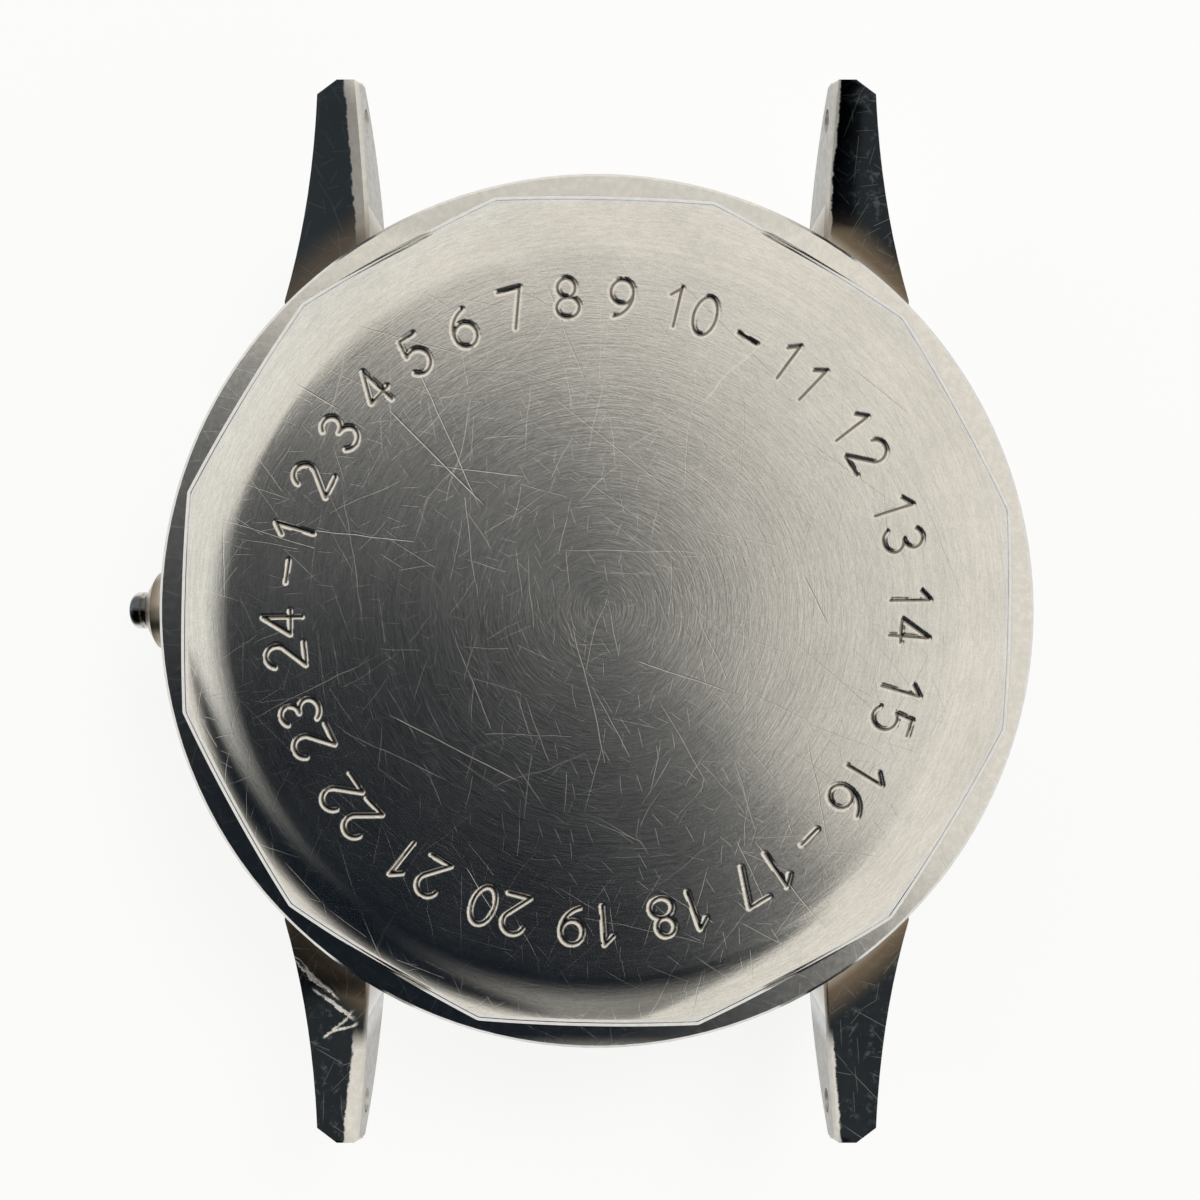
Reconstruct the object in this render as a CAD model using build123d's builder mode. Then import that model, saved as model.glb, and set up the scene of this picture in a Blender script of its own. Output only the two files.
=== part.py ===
from build123d import *
import math
import os

# A wristwatch head that lies on its crystal, with its screw back upwards.
# Z = 0 is the flat outer face of the crystal, +Z runs out of the back, +Y is the 12 o'clock side
# and the winding stem lies on the -X side. Lengths are in millimetres, angles in degrees.

# Shared clearances
run_gap = 0.05
loose_gap = 0.1
overrun = 1.0

# Case middle
case_radius = 16.9
flange_z = 8.0
flange_height = 0.8
band_step = 0.3
band_radius = case_radius - band_step
bezel_z = 1.0
bezel_slope_z = 2.6
bezel_slope_width = 0.4
bezel_slope_radius = band_radius - bezel_slope_width
bezel_lip_width = 0.9
bezel_lip_radius = bezel_slope_radius - bezel_lip_width
waist_z = 6.6

# Bores of the case middle, from the crystal to the back
bezel_ring_width = 1.1
crystal_bore_radius = bezel_lip_radius - bezel_ring_width
rehaut_width = 1.5
rehaut_radius = crystal_bore_radius - rehaut_width
rehaut_z = 2.6
dial_z = 3.4
rehaut_step = 0.4
movement_bore_radius = rehaut_radius + rehaut_step
movement_ledge_z = 6.1
movement_ledge_width = 1.5
thread_bore_radius = movement_bore_radius + movement_ledge_width
gasket_seat_width = 0.7
gasket_outer_radius = thread_bore_radius + gasket_seat_width
gasket_width = 0.55
gasket_inner_radius = gasket_outer_radius - gasket_width
gasket_depth = 0.5

# Lugs
lug_gap = 18.0
lug_tip_y = 20.5
lug_tip_width = 1.6
lug_middle_y = 17.2
lug_middle_width = 2.1
lug_root_y = 12.4
lug_root_width = 3.5
lug_start_y = 10.0
lug_back_root_z = 5.9
lug_back_middle_z = 6.9
lug_back_tip_z = 9.0
lug_front_root_z = 1.9
lug_front_middle_z = 4.0
lug_front_tip_z = 7.6
lug_tip_slant = 0.45
lug_tip_skew = 0.9
lug_bevel = 0.14
lug_foot_width = 0.7
lug_foot_radius = case_radius + lug_foot_width
bar_hole_radius = 0.45
bar_hole_depth = 1.0
bar_hole_y = 19.15
bar_hole_z = 7.3

# Twelve sided screw back
back_sides = 12
back_rim_step = 0.7
back_corner_radius = case_radius - back_rim_step
back_turn_angle = 13.8
back_seat_gap = 0.05
back_centre_z = 10.0
back_shoulder_width = 2.7
back_face_radius = back_corner_radius - back_shoulder_width
back_corner_z = 8.75
back_edge_width = 1.0
back_shoulder_radius = back_corner_radius - back_edge_width
back_shoulder_z = 9.4
back_edge_slope_shares = (0.15, -0.7)
back_inner_z = 8.5
skirt_wall = 0.8
skirt_inner_radius = thread_bore_radius - run_gap - skirt_wall
back_bore_step = 0.75
back_bore_radius = skirt_inner_radius - back_bore_step
skirt_foot_z = 6.35

# Crystal and its tension ring
crystal_bevel_width = 1.3
crystal_face_radius = crystal_bore_radius - crystal_bevel_width
crystal_thickness = 0.9
crystal_skirt = 0.8
tension_ring_width = 0.5
tension_ring_height = 0.9

# Crown side: tube, boss and stem
stem_z = 5.6
tube_radius = 0.74
tube_reach = 1.87
tube_end = case_radius + tube_reach
tube_round = 0.3
tube_lip_length = 0.55
tube_groove = tube_end - tube_lip_length
tube_groove_width = 0.16
tube_groove_depth = 0.1
boss_root_radius = 1.9
boss_shoulder_radius = 1.55
boss_tip_radius = 0.95
boss_sink = 1.0
boss_root = case_radius - boss_sink
boss_reach = 1.07
boss_tip = case_radius + boss_reach
boss_bevel_width = 0.4
boss_shoulder = boss_tip - boss_bevel_width
stem_radius = 0.45
stem_end_gap = 0.15
stem_end = tube_end - stem_end_gap

# Dial and hands
dial_thickness = 0.4
dial_radius = movement_bore_radius - loose_gap
dial_hole_radius = 0.95
seconds_hole_radius = 0.3
seconds_recess_radius = 2.9
seconds_recess_depth = 0.1
dial_foot_radius = 0.3
dial_foot_length = 0.8
dial_foot_inset = 2.4
dial_foot_circle_radius = dial_radius - dial_foot_inset
dial_foot_angles = (45, 225)
dial_hours = 12
marker_start_angle = 90
marker_length = 1.8
marker_width = 0.4
marker_height = 0.25
marker_inset = 1.7
marker_circle_radius = dial_radius - marker_inset
hour_hand_length = 7.4
minute_hand_length = 10.9
seconds_hand_length = 2.5
hour_hand_width = 0.9
minute_hand_width = 0.7
seconds_hand_width = 0.16
hand_thickness = 0.15
hour_hand_z = 2.85
minute_hand_z = 2.45
seconds_hand_z = 3.08
hour_hand_angle = 35
minute_hand_angle = 150
seconds_hand_angle = 300

# Main plate
movement_ring_width = 1.45
plate_radius = movement_bore_radius - movement_ring_width
plate_design_radius = 11.65
movement_scale = plate_radius / plate_design_radius
plate_z = dial_z + dial_thickness
plate_thickness = 1.6
plate_top = plate_z + plate_thickness
ring_inner_radius = plate_radius + loose_gap
ring_slot_width = 1.9
motion_recess = 0.6
pocket_level = 0.85
escape_pocket_level = 1.3
pocket_floor = plate_z + pocket_level
escape_floor = plate_z + escape_pocket_level
pad_radius = 0.7
pad_inset = 0.85
pad_circle_radius = plate_radius - pad_inset
pad_angles = (0, 140)
clamp_width = 1.6
clamp_thickness = 0.2
clamp_overlap = 0.5
clamp_outer_radius = movement_bore_radius + clamp_overlap
clamp_inset = 1.55
clamp_inner_radius = plate_radius - clamp_inset

# Wheel train: teeth and modules
barrel_teeth, centre_pinion_teeth = 72, 12
barrel_module = 0.14 * movement_scale
centre_teeth, third_pinion_teeth = 64, 8
centre_module = 0.12 * movement_scale
third_teeth, fourth_pinion_teeth = 60, 8
third_module = 0.11 * movement_scale
fourth_teeth, escape_pinion_teeth = 70, 7
fourth_module = 0.09 * movement_scale
cannon_teeth, minute_teeth = 12, 36
motion_module = 0.1 * movement_scale
minute_pinion_teeth, hour_teeth = 10, 40
setting_teeth = 22
ratchet_teeth, crown_teeth = 42, 36
winding_module = 0.18 * movement_scale
winding_teeth = 18
escape_teeth = 15
addendum_share = 0.85
dedendum_share = 1.1
tooth_half_share = 0.3
wheel_thickness = 0.18
pinion_height = 0.36
arbor_radius = 0.2 * movement_scale
pivot_radius = 0.1 * movement_scale
rim_width = 0.35 * movement_scale
arm_width = 0.35 * movement_scale
hub_radius = 0.55 * movement_scale
arms = 4

# Levels of the wheels, measured on their lower faces
barrel_level = 0.95
fourth_level = 1.0
escape_level = 1.4
third_level = 1.5
pallet_bridge_level = 0.1
balance_level = 0.45
hairspring_level = 0.9
centre_level = 0.95
bridge_level = 1.25
winding_level = 0.4
barrel_z = plate_z + barrel_level
fourth_z = plate_z + fourth_level
escape_z = plate_z + escape_level
third_z = plate_z + third_level
pallet_bridge_z = plate_top + pallet_bridge_level
balance_z = plate_top + balance_level
hairspring_z = plate_top + hairspring_level
centre_z = plate_top + centre_level
bridge_z = plate_top + bridge_level
winding_z = bridge_z + winding_level

# Bridges
barrel_bridge_thickness = 0.8
train_bridge_thickness = 0.6
cock_thickness = 0.75
pallet_bridge_thickness = 0.22
bridge_inset = 0.4 * movement_scale
bridge_radius = plate_radius - bridge_inset
bridge_gap = 0.15 * movement_scale
foot_radius = 0.8 * movement_scale
screw_head_radius = 0.52 * movement_scale
screw_head_height = 0.25
screw_radius = 0.3 * movement_scale
screw_slot = 0.12
small_head_radius = 0.38 * movement_scale
small_head_height = 0.12
small_screw_radius = 0.18 * movement_scale
jewel_radius = 0.45 * movement_scale
jewel_thickness = 0.35
small_jewel_radius = 0.3 * movement_scale

# Barrel
barrel_height = 1.5
drum_wall = 0.25 * movement_scale
barrel_flange = 0.35
barrel_floor = 0.2
arbor_core_radius = 1.0 * movement_scale
barrel_pivot_radius = 0.5 * movement_scale
arbor_square = 0.8 * movement_scale
mainspring_turns = 8
mainspring_thickness = 0.12

# Escapement and balance
escape_radius = 1.8 * movement_scale
escape_root_radius = 1.4 * movement_scale
escape_distance = 2.0 * movement_scale
pallet_distance = 2.05 * movement_scale
escape_line_angle = 196.7
anchor_inner_radius = 1.93 * movement_scale
anchor_width = 0.22 * movement_scale
anchor_half_angle = 33
lever_length = 1.22 * movement_scale
lever_width = 0.2 * movement_scale
fork_width = 0.5 * movement_scale
fork_notch = 0.22 * movement_scale
fork_depth = 0.24 * movement_scale
balance_radius = 2.95 * movement_scale
balance_rim = 0.45 * movement_scale
balance_height = 0.25
roller_radius = 0.85 * movement_scale
roller_level = 0.05
roller_z = plate_top + roller_level
roller_thickness = 0.15
impulse_pin_radius = 0.08 * movement_scale
impulse_pin_circle_radius = 0.68 * movement_scale
collet_radius = 0.35 * movement_scale
hairspring_inner = 0.5 * movement_scale
hairspring_outer = 1.95 * movement_scale
hairspring_turns = 6
hairspring_thickness = 0.05
hairspring_height = 0.12
stud_radius = 0.12 * movement_scale

# Winding and setting
pinion_start = 10.3 * movement_scale
pinion_length = 1.2 * movement_scale
winding_pinion_radius = 1.4
pinion_slot_gap = 0.3
clutch_start = 8.95 * movement_scale
clutch_length = 1.7 * movement_scale
clutch_radius = 1.25
clutch_groove_radius = 0.85
clutch_groove_width = 0.44 * movement_scale
clutch_groove_place = 8.1 * movement_scale
stem_square = 0.62
square_start = 9.0 * movement_scale
pilot_start = 6.6 * movement_scale
pilot_end = 5.7 * movement_scale
pilot_radius = 0.25
collar_radius = 0.6
stem_groove_place = 10.85 * movement_scale
stem_groove_width = 0.5 * movement_scale
stem_neck_radius = 0.3
lever_thickness = 0.25
lever_level = 0.05
lever_z = plate_z + lever_level
lever_pivot_x = -10.6 * movement_scale
lever_pivot_y = -2.9 * movement_scale
lever_shift = 0.6 * movement_scale
post_radius = 0.16 * movement_scale
post_slot_gap = 0.2 * movement_scale
yoke_pivot_x = -8.1 * movement_scale
yoke_pivot_y = 3.1 * movement_scale
yoke_post_radius = 0.13 * movement_scale
lever_end_radius = 0.35 * movement_scale
lever_hub_radius = 0.5 * movement_scale
stud_hole_radius = 0.25 * movement_scale


# Centres of the wheels, worked out from teeth and modules
def mesh_distance(teeth_a, teeth_b, module):
    return (teeth_a + teeth_b) * module / 2


def polar(radius, angle):
    return (radius * math.cos(math.radians(angle)), radius * math.sin(math.radians(angle)))


def moved(place, step):
    return (place[0] + step[0], place[1] + step[1])


def bearing(place_a, place_b):
    return math.degrees(math.atan2(place_b[1] - place_a[1], place_b[0] - place_a[0]))


barrel_angle = 105
third_angle = -46.5
centre_at = (0, 0)
barrel_at = polar(mesh_distance(barrel_teeth, centre_pinion_teeth, barrel_module), barrel_angle)
third_at = polar(mesh_distance(centre_teeth, third_pinion_teeth, centre_module), third_angle)
fourth_step = mesh_distance(third_teeth, fourth_pinion_teeth, third_module)
fourth_at = (0, third_at[1] - math.sqrt(fourth_step ** 2 - third_at[0] ** 2))
escape_angle = 150
escape_at = moved(fourth_at, polar(mesh_distance(fourth_teeth, escape_pinion_teeth, fourth_module),
                                   escape_angle))
pallet_at = moved(escape_at, polar(escape_distance, escape_line_angle))
balance_at = moved(pallet_at, polar(pallet_distance, escape_line_angle))
minute_at = (-mesh_distance(cannon_teeth, minute_teeth, motion_module), 0)
setting_at = (minute_at[0] - mesh_distance(minute_teeth, setting_teeth, motion_module), 0)
hour_module = 2 * abs(minute_at[0]) / (minute_pinion_teeth + hour_teeth)
winding_step = mesh_distance(ratchet_teeth, crown_teeth, winding_module)
crown_wheel_at = (barrel_at[0] - math.sqrt(winding_step ** 2 - barrel_at[1] ** 2), 0)
barrel_pitch_radius = barrel_teeth * barrel_module / 2
third_pitch_radius = third_teeth * third_module / 2
fourth_pitch_radius = fourth_teeth * fourth_module / 2
centre_pitch_radius = centre_teeth * centre_module / 2
ratchet_pitch_radius = ratchet_teeth * winding_module / 2
crown_pitch_radius = crown_teeth * winding_module / 2
drum_radius = barrel_pitch_radius - barrel_module * dedendum_share - loose_gap
pocket_gap = 0.2 * movement_scale

barrel_foot_shares = ((-0.8844, 0.2444), (0.4578, 0.7929), (0.5511, 0.2311))
train_foot_shares = ((0.7289, -0.1067), (0.4622, -0.7911), (-0.0533, -0.8889))
cock_foot_share = (-0.32, -0.8533)
barrel_feet = [(x * bridge_radius, y * bridge_radius) for x, y in barrel_foot_shares]
train_feet = [(x * bridge_radius, y * bridge_radius) for x, y in train_foot_shares]
cock_foot = (cock_foot_share[0] * bridge_radius, cock_foot_share[1] * bridge_radius)
cock_foot_radius = 1.1 * movement_scale
cock_end_radius = 1.3 * movement_scale
pallet_foot_step = 1.9 * movement_scale
pallet_feet = (moved(pallet_at, polar(pallet_foot_step, escape_line_angle + 90)),
               moved(pallet_at, polar(pallet_foot_step, escape_line_angle - 90)))
pallet_foot_radius = 0.5 * movement_scale
click_gap = 1.27 * movement_scale
click_angle = 170
click_beak_gap = 0.42 * movement_scale
click_beak_angle = 158
click_at = moved(barrel_at, polar(ratchet_pitch_radius + click_gap, click_angle))
click_beak_at = moved(barrel_at, polar(ratchet_pitch_radius + click_beak_gap, click_beak_angle))
click_radius = 0.5 * movement_scale
click_beak_radius = 0.16 * movement_scale
click_spring_radius = 0.75 * movement_scale
click_spring_width = 0.12 * movement_scale
click_spring_step = 1.365 * movement_scale
click_spring_angle = 261.6
click_spring_foot_at = moved(click_at, polar(click_spring_step, click_spring_angle))
click_spring_foot_radius = 0.4 * movement_scale
ratchet_screw_radius = 0.9 * movement_scale
crown_screw_radius = 0.8 * movement_scale
crown_post_radius = 0.6 * movement_scale


# Shared shapes
def tooth_points(teeth, module, first_angle=0):
    """Outline of a wheel with pointed teeth, one of them at first_angle."""
    pitch_radius = teeth * module / 2
    root = pitch_radius - module * dedendum_share
    tip = pitch_radius + module * addendum_share
    step = 360 / teeth
    points = []
    for tooth in range(teeth):
        angle = first_angle + tooth * step
        points.append(polar(root, angle - tooth_half_share * step))
        points.append(polar(tip, angle))
        points.append(polar(root, angle + tooth_half_share * step))
    return points


def mesh_angle(teeth, line_angle, partner_teeth=None, partner_first=0, partner_line=None):
    """First tooth angle of a wheel whose gap faces its partner's tooth along line_angle."""
    if partner_teeth is None:
        return line_angle
    partner_step = 360 / partner_teeth
    step = 360 / teeth
    shift = ((partner_line - partner_first) / partner_step) % 1
    return line_angle + step / 2 + shift * step


def sketch_wheel(place, plane_z, teeth, module, first_angle, hole):
    """A spoked wheel: toothed rim, arms and hub, drawn at a place on one level."""
    inner = teeth * module / 2 - module * dedendum_share - rim_width
    with BuildSketch(Plane.XY.offset(plane_z)) as sketch:
        with Locations(place):
            add(Face(Wire.make_polygon([Vector(*p) for p in tooth_points(teeth, module, first_angle)])))
            Circle(inner, mode=Mode.SUBTRACT)
            for turn in range(arms // 2):
                Rectangle(2 * (inner + rim_width / 2), arm_width, rotation=turn * 360 / arms)
            Circle(hub_radius)
            if hole:
                Circle(hole, mode=Mode.SUBTRACT)
    return sketch.sketch


def sketch_gear(place, plane_z, teeth, module, first_angle, hole):
    """A solid gear or pinion, drawn at a place on one level."""
    with BuildSketch(Plane.XY.offset(plane_z)) as sketch:
        with Locations(place):
            add(Face(Wire.make_polygon([Vector(*p) for p in tooth_points(teeth, module, first_angle)])))
            if hole:
                Circle(hole, mode=Mode.SUBTRACT)
    return sketch.sketch


def sketch_disc(place, plane_z, radius, hole=0):
    """A disc or a ring at a place on one level."""
    with BuildSketch(Plane.XY.offset(plane_z)) as sketch:
        with Locations(place):
            Circle(radius)
            if hole:
                Circle(hole, mode=Mode.SUBTRACT)
    return sketch.sketch


def sketch_discs(places, plane_z, radius):
    """Equal discs at several places on one level."""
    with BuildSketch(Plane.XY.offset(plane_z)) as sketch:
        with Locations(*places):
            Circle(radius)
    return sketch.sketch


def sketch_link(ends, plane_z):
    """The hull of several circles, given as (place, radius)."""
    with BuildSketch(Plane.XY.offset(plane_z)) as sketch:
        for place, radius in ends:
            with Locations(place):
                Circle(radius)
        make_hull()
    return sketch.sketch


def sketch_spiral(place, plane_z, inner, outer, turns, thickness, end_angle, points_per_turn=12):
    """A flat spiral strip around a place, whose outer end lies at end_angle."""
    count = turns * points_per_turn
    sides = []
    for side in (-thickness / 2, thickness / 2):
        line = []
        for index in range(count + 1):
            radius = inner + (outer - inner) * index / count + side
            angle = end_angle - 360 * (count - index) / points_per_turn
            line.append(moved(place, polar(radius, angle)))
        sides.append(line)
    with BuildSketch(Plane.XY.offset(plane_z)) as sketch:
        with BuildLine():
            inner_curve = Spline(*sides[0])
            outer_curve = Spline(*sides[1])
            Line(inner_curve @ 0, outer_curve @ 0)
            Line(inner_curve @ 1, outer_curve @ 1)
        make_face()
    return sketch.sketch


def save(part, name):
    """Label a finished piece and write its STEP file."""
    part.label = name
    export_step(part, f"parts/{name}.step")


os.makedirs("parts", exist_ok=True)

# Case middle
crown_plane = Plane(origin=(0, 0, stem_z), x_dir=(0, 1, 0), z_dir=(-1, 0, 0))

with BuildPart() as lug:
    with BuildSketch(Plane.XY) as lug_plan:
        with BuildLine():
            inner_edge = Polyline((lug_gap / 2, lug_start_y), (lug_gap / 2, lug_tip_y))
            tip_edge = Line(inner_edge @ 1, (lug_gap / 2 + lug_tip_width, lug_tip_y - lug_tip_skew))
            outer_edge = Spline(
                tip_edge @ 1,
                (lug_gap / 2 + lug_middle_width, lug_middle_y),
                (lug_gap / 2 + lug_root_width, lug_root_y),
            )
            Polyline(outer_edge @ 1, (lug_gap / 2 + lug_root_width, lug_start_y), inner_edge @ 0)
        make_face()
    extrude(amount=flange_z + overrun + overrun)
    with BuildSketch(Plane.YZ) as lug_side:
        with BuildLine():
            back_arc = ThreePointArc(
                (lug_start_y, lug_back_root_z),
                ((lug_start_y + lug_tip_y) / 2, lug_back_middle_z),
                (lug_tip_y - lug_tip_slant, lug_back_tip_z),
            )
            tip_line = Line(back_arc @ 1, (lug_tip_y, lug_front_tip_z))
            front_arc = ThreePointArc(
                tip_line @ 1,
                (lug_middle_y, lug_front_middle_z),
                (lug_start_y, lug_front_root_z),
            )
            Line(front_arc @ 1, back_arc @ 0)
        make_face()
    extrude(amount=case_radius, mode=Mode.INTERSECT)
    inner_rim = lug.edges().filter_by_position(Axis.X, lug_gap / 2, lug_gap / 2)
    chamfer(inner_rim.sort_by(Axis.Y)[1:], length=lug_bevel)
    with Locations(Plane(origin=(lug_gap / 2, bar_hole_y, bar_hole_z), z_dir=(-1, 0, 0))):
        Hole(bar_hole_radius, depth=bar_hole_depth)

with BuildPart() as lug_foot:
    with BuildSketch(Plane.XZ):
        with BuildLine():
            Polyline(
                (case_radius - overrun, lug_back_root_z - flange_height),
                (lug_foot_radius, lug_back_root_z - flange_height),
                (lug_foot_radius, lug_back_root_z),
                (case_radius, flange_z - flange_height / 2),
                (case_radius - overrun, flange_z - flange_height / 2),
                close=True,
            )
        make_face()
    revolve(axis=Axis.Z)
    extrude(lug_plan.sketch, amount=flange_z, mode=Mode.INTERSECT)

with BuildPart() as case_block:
    with BuildSketch(Plane.XZ):
        with BuildLine():
            Polyline(
                (0, bezel_z),
                (bezel_lip_radius, bezel_z),
                (bezel_slope_radius, bezel_slope_z),
                (band_radius, (bezel_slope_z + waist_z) / 2),
                (band_radius, waist_z),
                (case_radius, flange_z - flange_height),
                (case_radius, flange_z - lug_bevel),
                (case_radius - lug_bevel, flange_z),
                (0, flange_z),
                close=True,
            )
        make_face()
    revolve(axis=Axis.Z)

case_steps = (
    (crystal_bore_radius, 0, rehaut_z),
    (rehaut_radius, rehaut_z, dial_z),
    (movement_bore_radius, dial_z, movement_ledge_z),
    (thread_bore_radius, movement_ledge_z, flange_z),
    (gasket_outer_radius, flange_z - gasket_depth, flange_z),
)
with BuildPart() as case_middle:
    add(case_block.part)
    with BuildSketch(crown_plane.offset(boss_root)):
        Circle(boss_root_radius)
    with BuildSketch(crown_plane.offset(boss_shoulder)):
        Circle(boss_shoulder_radius)
    loft()
    with BuildSketch(crown_plane.offset(boss_shoulder)):
        Circle(boss_shoulder_radius)
    with BuildSketch(crown_plane.offset(boss_tip)):
        Circle(boss_tip_radius)
    loft()
    for step_radius, step_foot, step_top in case_steps:
        step_disc = sketch_disc((0, 0), step_foot, step_radius)
        extrude(step_disc, amount=step_top - step_foot, mode=Mode.SUBTRACT)
    with BuildSketch(crown_plane.offset(movement_bore_radius - overrun)):
        Circle(tube_radius)
    extrude(amount=case_radius, mode=Mode.SUBTRACT)
save(case_middle.part, "case_middle")

# Four lugs, each with its sloped foot, joined to the band of the case middle
with BuildPart() as lug_block:
    add(lug.part)
    add(lug_foot.part)
    add(case_block.part, mode=Mode.SUBTRACT)
save(lug_block.part, "lug_12_right")
save(lug_block.part.mirror(Plane.YZ), "lug_12_left")
save(lug_block.part.mirror(Plane.XZ), "lug_6_right")
save(lug_block.part.mirror(Plane.YZ).mirror(Plane.XZ), "lug_6_left")

# Screw back: turned shoulder cut to a twelve sided outline, with a plain skirt for the thread
back_under_z = flange_z + back_seat_gap
with BuildPart() as case_back:
    with BuildSketch(Plane.XZ):
        with BuildLine():
            face_line = Line((0, back_centre_z), (back_face_radius, back_centre_z))
            shoulder = Spline(
                face_line @ 1,
                (back_shoulder_radius, back_shoulder_z),
                (back_corner_radius, back_corner_z),
                tangents=(face_line % 1, back_edge_slope_shares),
            )
            Polyline(
                shoulder @ 1,
                (back_corner_radius, back_under_z),
                (thread_bore_radius - run_gap, back_under_z),
                (thread_bore_radius - run_gap, skirt_foot_z),
                (skirt_inner_radius, skirt_foot_z),
                (skirt_inner_radius, back_under_z),
                (back_bore_radius, back_inner_z),
                (0, back_inner_z),
                face_line @ 0,
            )
        make_face()
    revolve(axis=Axis.Z)
    with BuildSketch(Plane.XY.offset(skirt_foot_z)):
        RegularPolygon(back_corner_radius, back_sides, rotation=back_turn_angle)
    extrude(amount=back_centre_z, mode=Mode.INTERSECT)
save(case_back.part, "case_back")

with BuildPart() as back_gasket:
    with BuildSketch(Plane.XY.offset(flange_z - gasket_depth)):
        Circle(gasket_outer_radius - run_gap)
        Circle(gasket_inner_radius, mode=Mode.SUBTRACT)
    extrude(amount=gasket_depth + back_seat_gap)
save(back_gasket.part, "back_gasket")

# Crystal with a bevelled edge and a skirt, held outwards by the tension ring
skirt_radius = crystal_bore_radius - run_gap / 2
with BuildPart() as crystal:
    with BuildSketch(Plane.XZ):
        with BuildLine():
            Polyline(
                (0, 0),
                (crystal_face_radius, 0),
                (skirt_radius, bezel_z),
                (skirt_radius, rehaut_z),
                (skirt_radius - crystal_skirt, rehaut_z),
                (skirt_radius - crystal_skirt, bezel_z + crystal_thickness / 2),
                (crystal_face_radius - crystal_thickness / 2, crystal_thickness),
                (0, crystal_thickness),
                close=True,
            )
        make_face()
    revolve(axis=Axis.Z)
save(crystal.part, "crystal")

with BuildPart() as tension_ring:
    ring_radius = skirt_radius - crystal_skirt - run_gap / 2
    with BuildSketch(Plane.XY.offset(rehaut_z - tension_ring_height)):
        Circle(ring_radius)
        Circle(ring_radius - tension_ring_width, mode=Mode.SUBTRACT)
    extrude(amount=tension_ring_height)
save(tension_ring.part, "tension_ring")

# Case tube with a rounded mouth and one groove
with BuildPart() as case_tube:
    with BuildSketch(crown_plane.offset(movement_bore_radius)):
        Circle(tube_radius)
    extrude(amount=tube_end - movement_bore_radius)
    fillet(case_tube.edges().filter_by(GeomType.CIRCLE).sort_by(Axis.X)[0], tube_round)
    with BuildSketch(crown_plane.offset(tube_groove - tube_groove_width / 2)):
        Circle(tube_radius + overrun)
        Circle(tube_radius - tube_groove_depth, mode=Mode.SUBTRACT)
    extrude(amount=tube_groove_width, mode=Mode.SUBTRACT)
    with BuildSketch(crown_plane.offset(movement_bore_radius - overrun)):
        Circle(stem_radius + run_gap)
    extrude(amount=tube_end, mode=Mode.SUBTRACT)
save(case_tube.part, "case_tube")

# Movement ring, clamps and clamp screws
ring_top = movement_ledge_z
with BuildPart() as movement_ring:
    with BuildSketch(Plane.XY.offset(plate_z)):
        Circle(movement_bore_radius - run_gap)
        Circle(ring_inner_radius, mode=Mode.SUBTRACT)
    extrude(amount=ring_top - plate_z)
    with BuildSketch(Plane.XY.offset(stem_z - ring_slot_width / 2)):
        with Locations((-ring_inner_radius - overrun, 0)):
            Rectangle(2 * (overrun + overrun), ring_slot_width)
    extrude(amount=ring_top, mode=Mode.SUBTRACT)
save(movement_ring.part, "movement_ring")

pads = [polar(pad_circle_radius, angle) for angle in pad_angles]
with BuildPart() as case_clamps:
    for angle, pad in zip(pad_angles, pads):
        with BuildSketch(Plane.XY.offset(ring_top)):
            with Locations(Location(polar((clamp_inner_radius + clamp_outer_radius) / 2, angle), angle)):
                SlotOverall(clamp_outer_radius - clamp_inner_radius, clamp_width)
            with Locations(pad):
                Circle(screw_radius + run_gap, mode=Mode.SUBTRACT)
        extrude(amount=clamp_thickness)
save(case_clamps.part, "case_clamps")


def add_screws(places, head_z, head_radius, head_height, shank_radius, foot_z):
    """Slotted screws whose heads stand on head_z and whose shanks reach down to foot_z."""
    extrude(sketch_discs(places, foot_z, shank_radius), amount=head_z - foot_z)
    extrude(sketch_discs(places, head_z, head_radius), amount=head_height)
    with BuildSketch(Plane.XY.offset(head_z + head_height / 2)) as slots:
        with Locations(*places):
            Rectangle(2 * (head_radius + run_gap), screw_slot)
    extrude(slots.sketch, amount=head_height, mode=Mode.SUBTRACT)


screw_foot_z = plate_z + motion_recess
with BuildPart() as clamp_screws:
    add_screws(pads, ring_top + clamp_thickness, screw_head_radius, clamp_thickness,
               screw_radius, screw_foot_z)
save(clamp_screws.part, "clamp_screws")

# Dial with two feet, a central hole and a sunk seconds circle
dial_feet = [polar(dial_foot_circle_radius, angle) for angle in dial_foot_angles]
with BuildPart() as dial:
    with BuildSketch(Plane.XY.offset(dial_z)):
        Circle(dial_radius)
        Circle(dial_hole_radius, mode=Mode.SUBTRACT)
        with Locations(fourth_at):
            Circle(seconds_hole_radius, mode=Mode.SUBTRACT)
    extrude(amount=dial_thickness)
    with BuildSketch(Plane.XY.offset(dial_z)):
        with Locations(fourth_at):
            Circle(seconds_recess_radius)
    extrude(amount=seconds_recess_depth, mode=Mode.SUBTRACT)
    with BuildSketch(Plane.XY.offset(plate_z)):
        with Locations(*dial_feet):
            Circle(dial_foot_radius)
    extrude(amount=dial_foot_length)
save(dial.part, "dial")

with BuildPart() as hour_markers:
    with BuildSketch(Plane.XY.offset(dial_z - marker_height)):
        for hour in range(dial_hours):
            if hour != dial_hours / 2:
                marker_angle = marker_start_angle + hour * 360 / dial_hours
                with Locations(Location(polar(marker_circle_radius, marker_angle), marker_angle)):
                    Rectangle(marker_length, marker_width)
    extrude(amount=marker_height)
save(hour_markers.part, "hour_markers")


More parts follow.
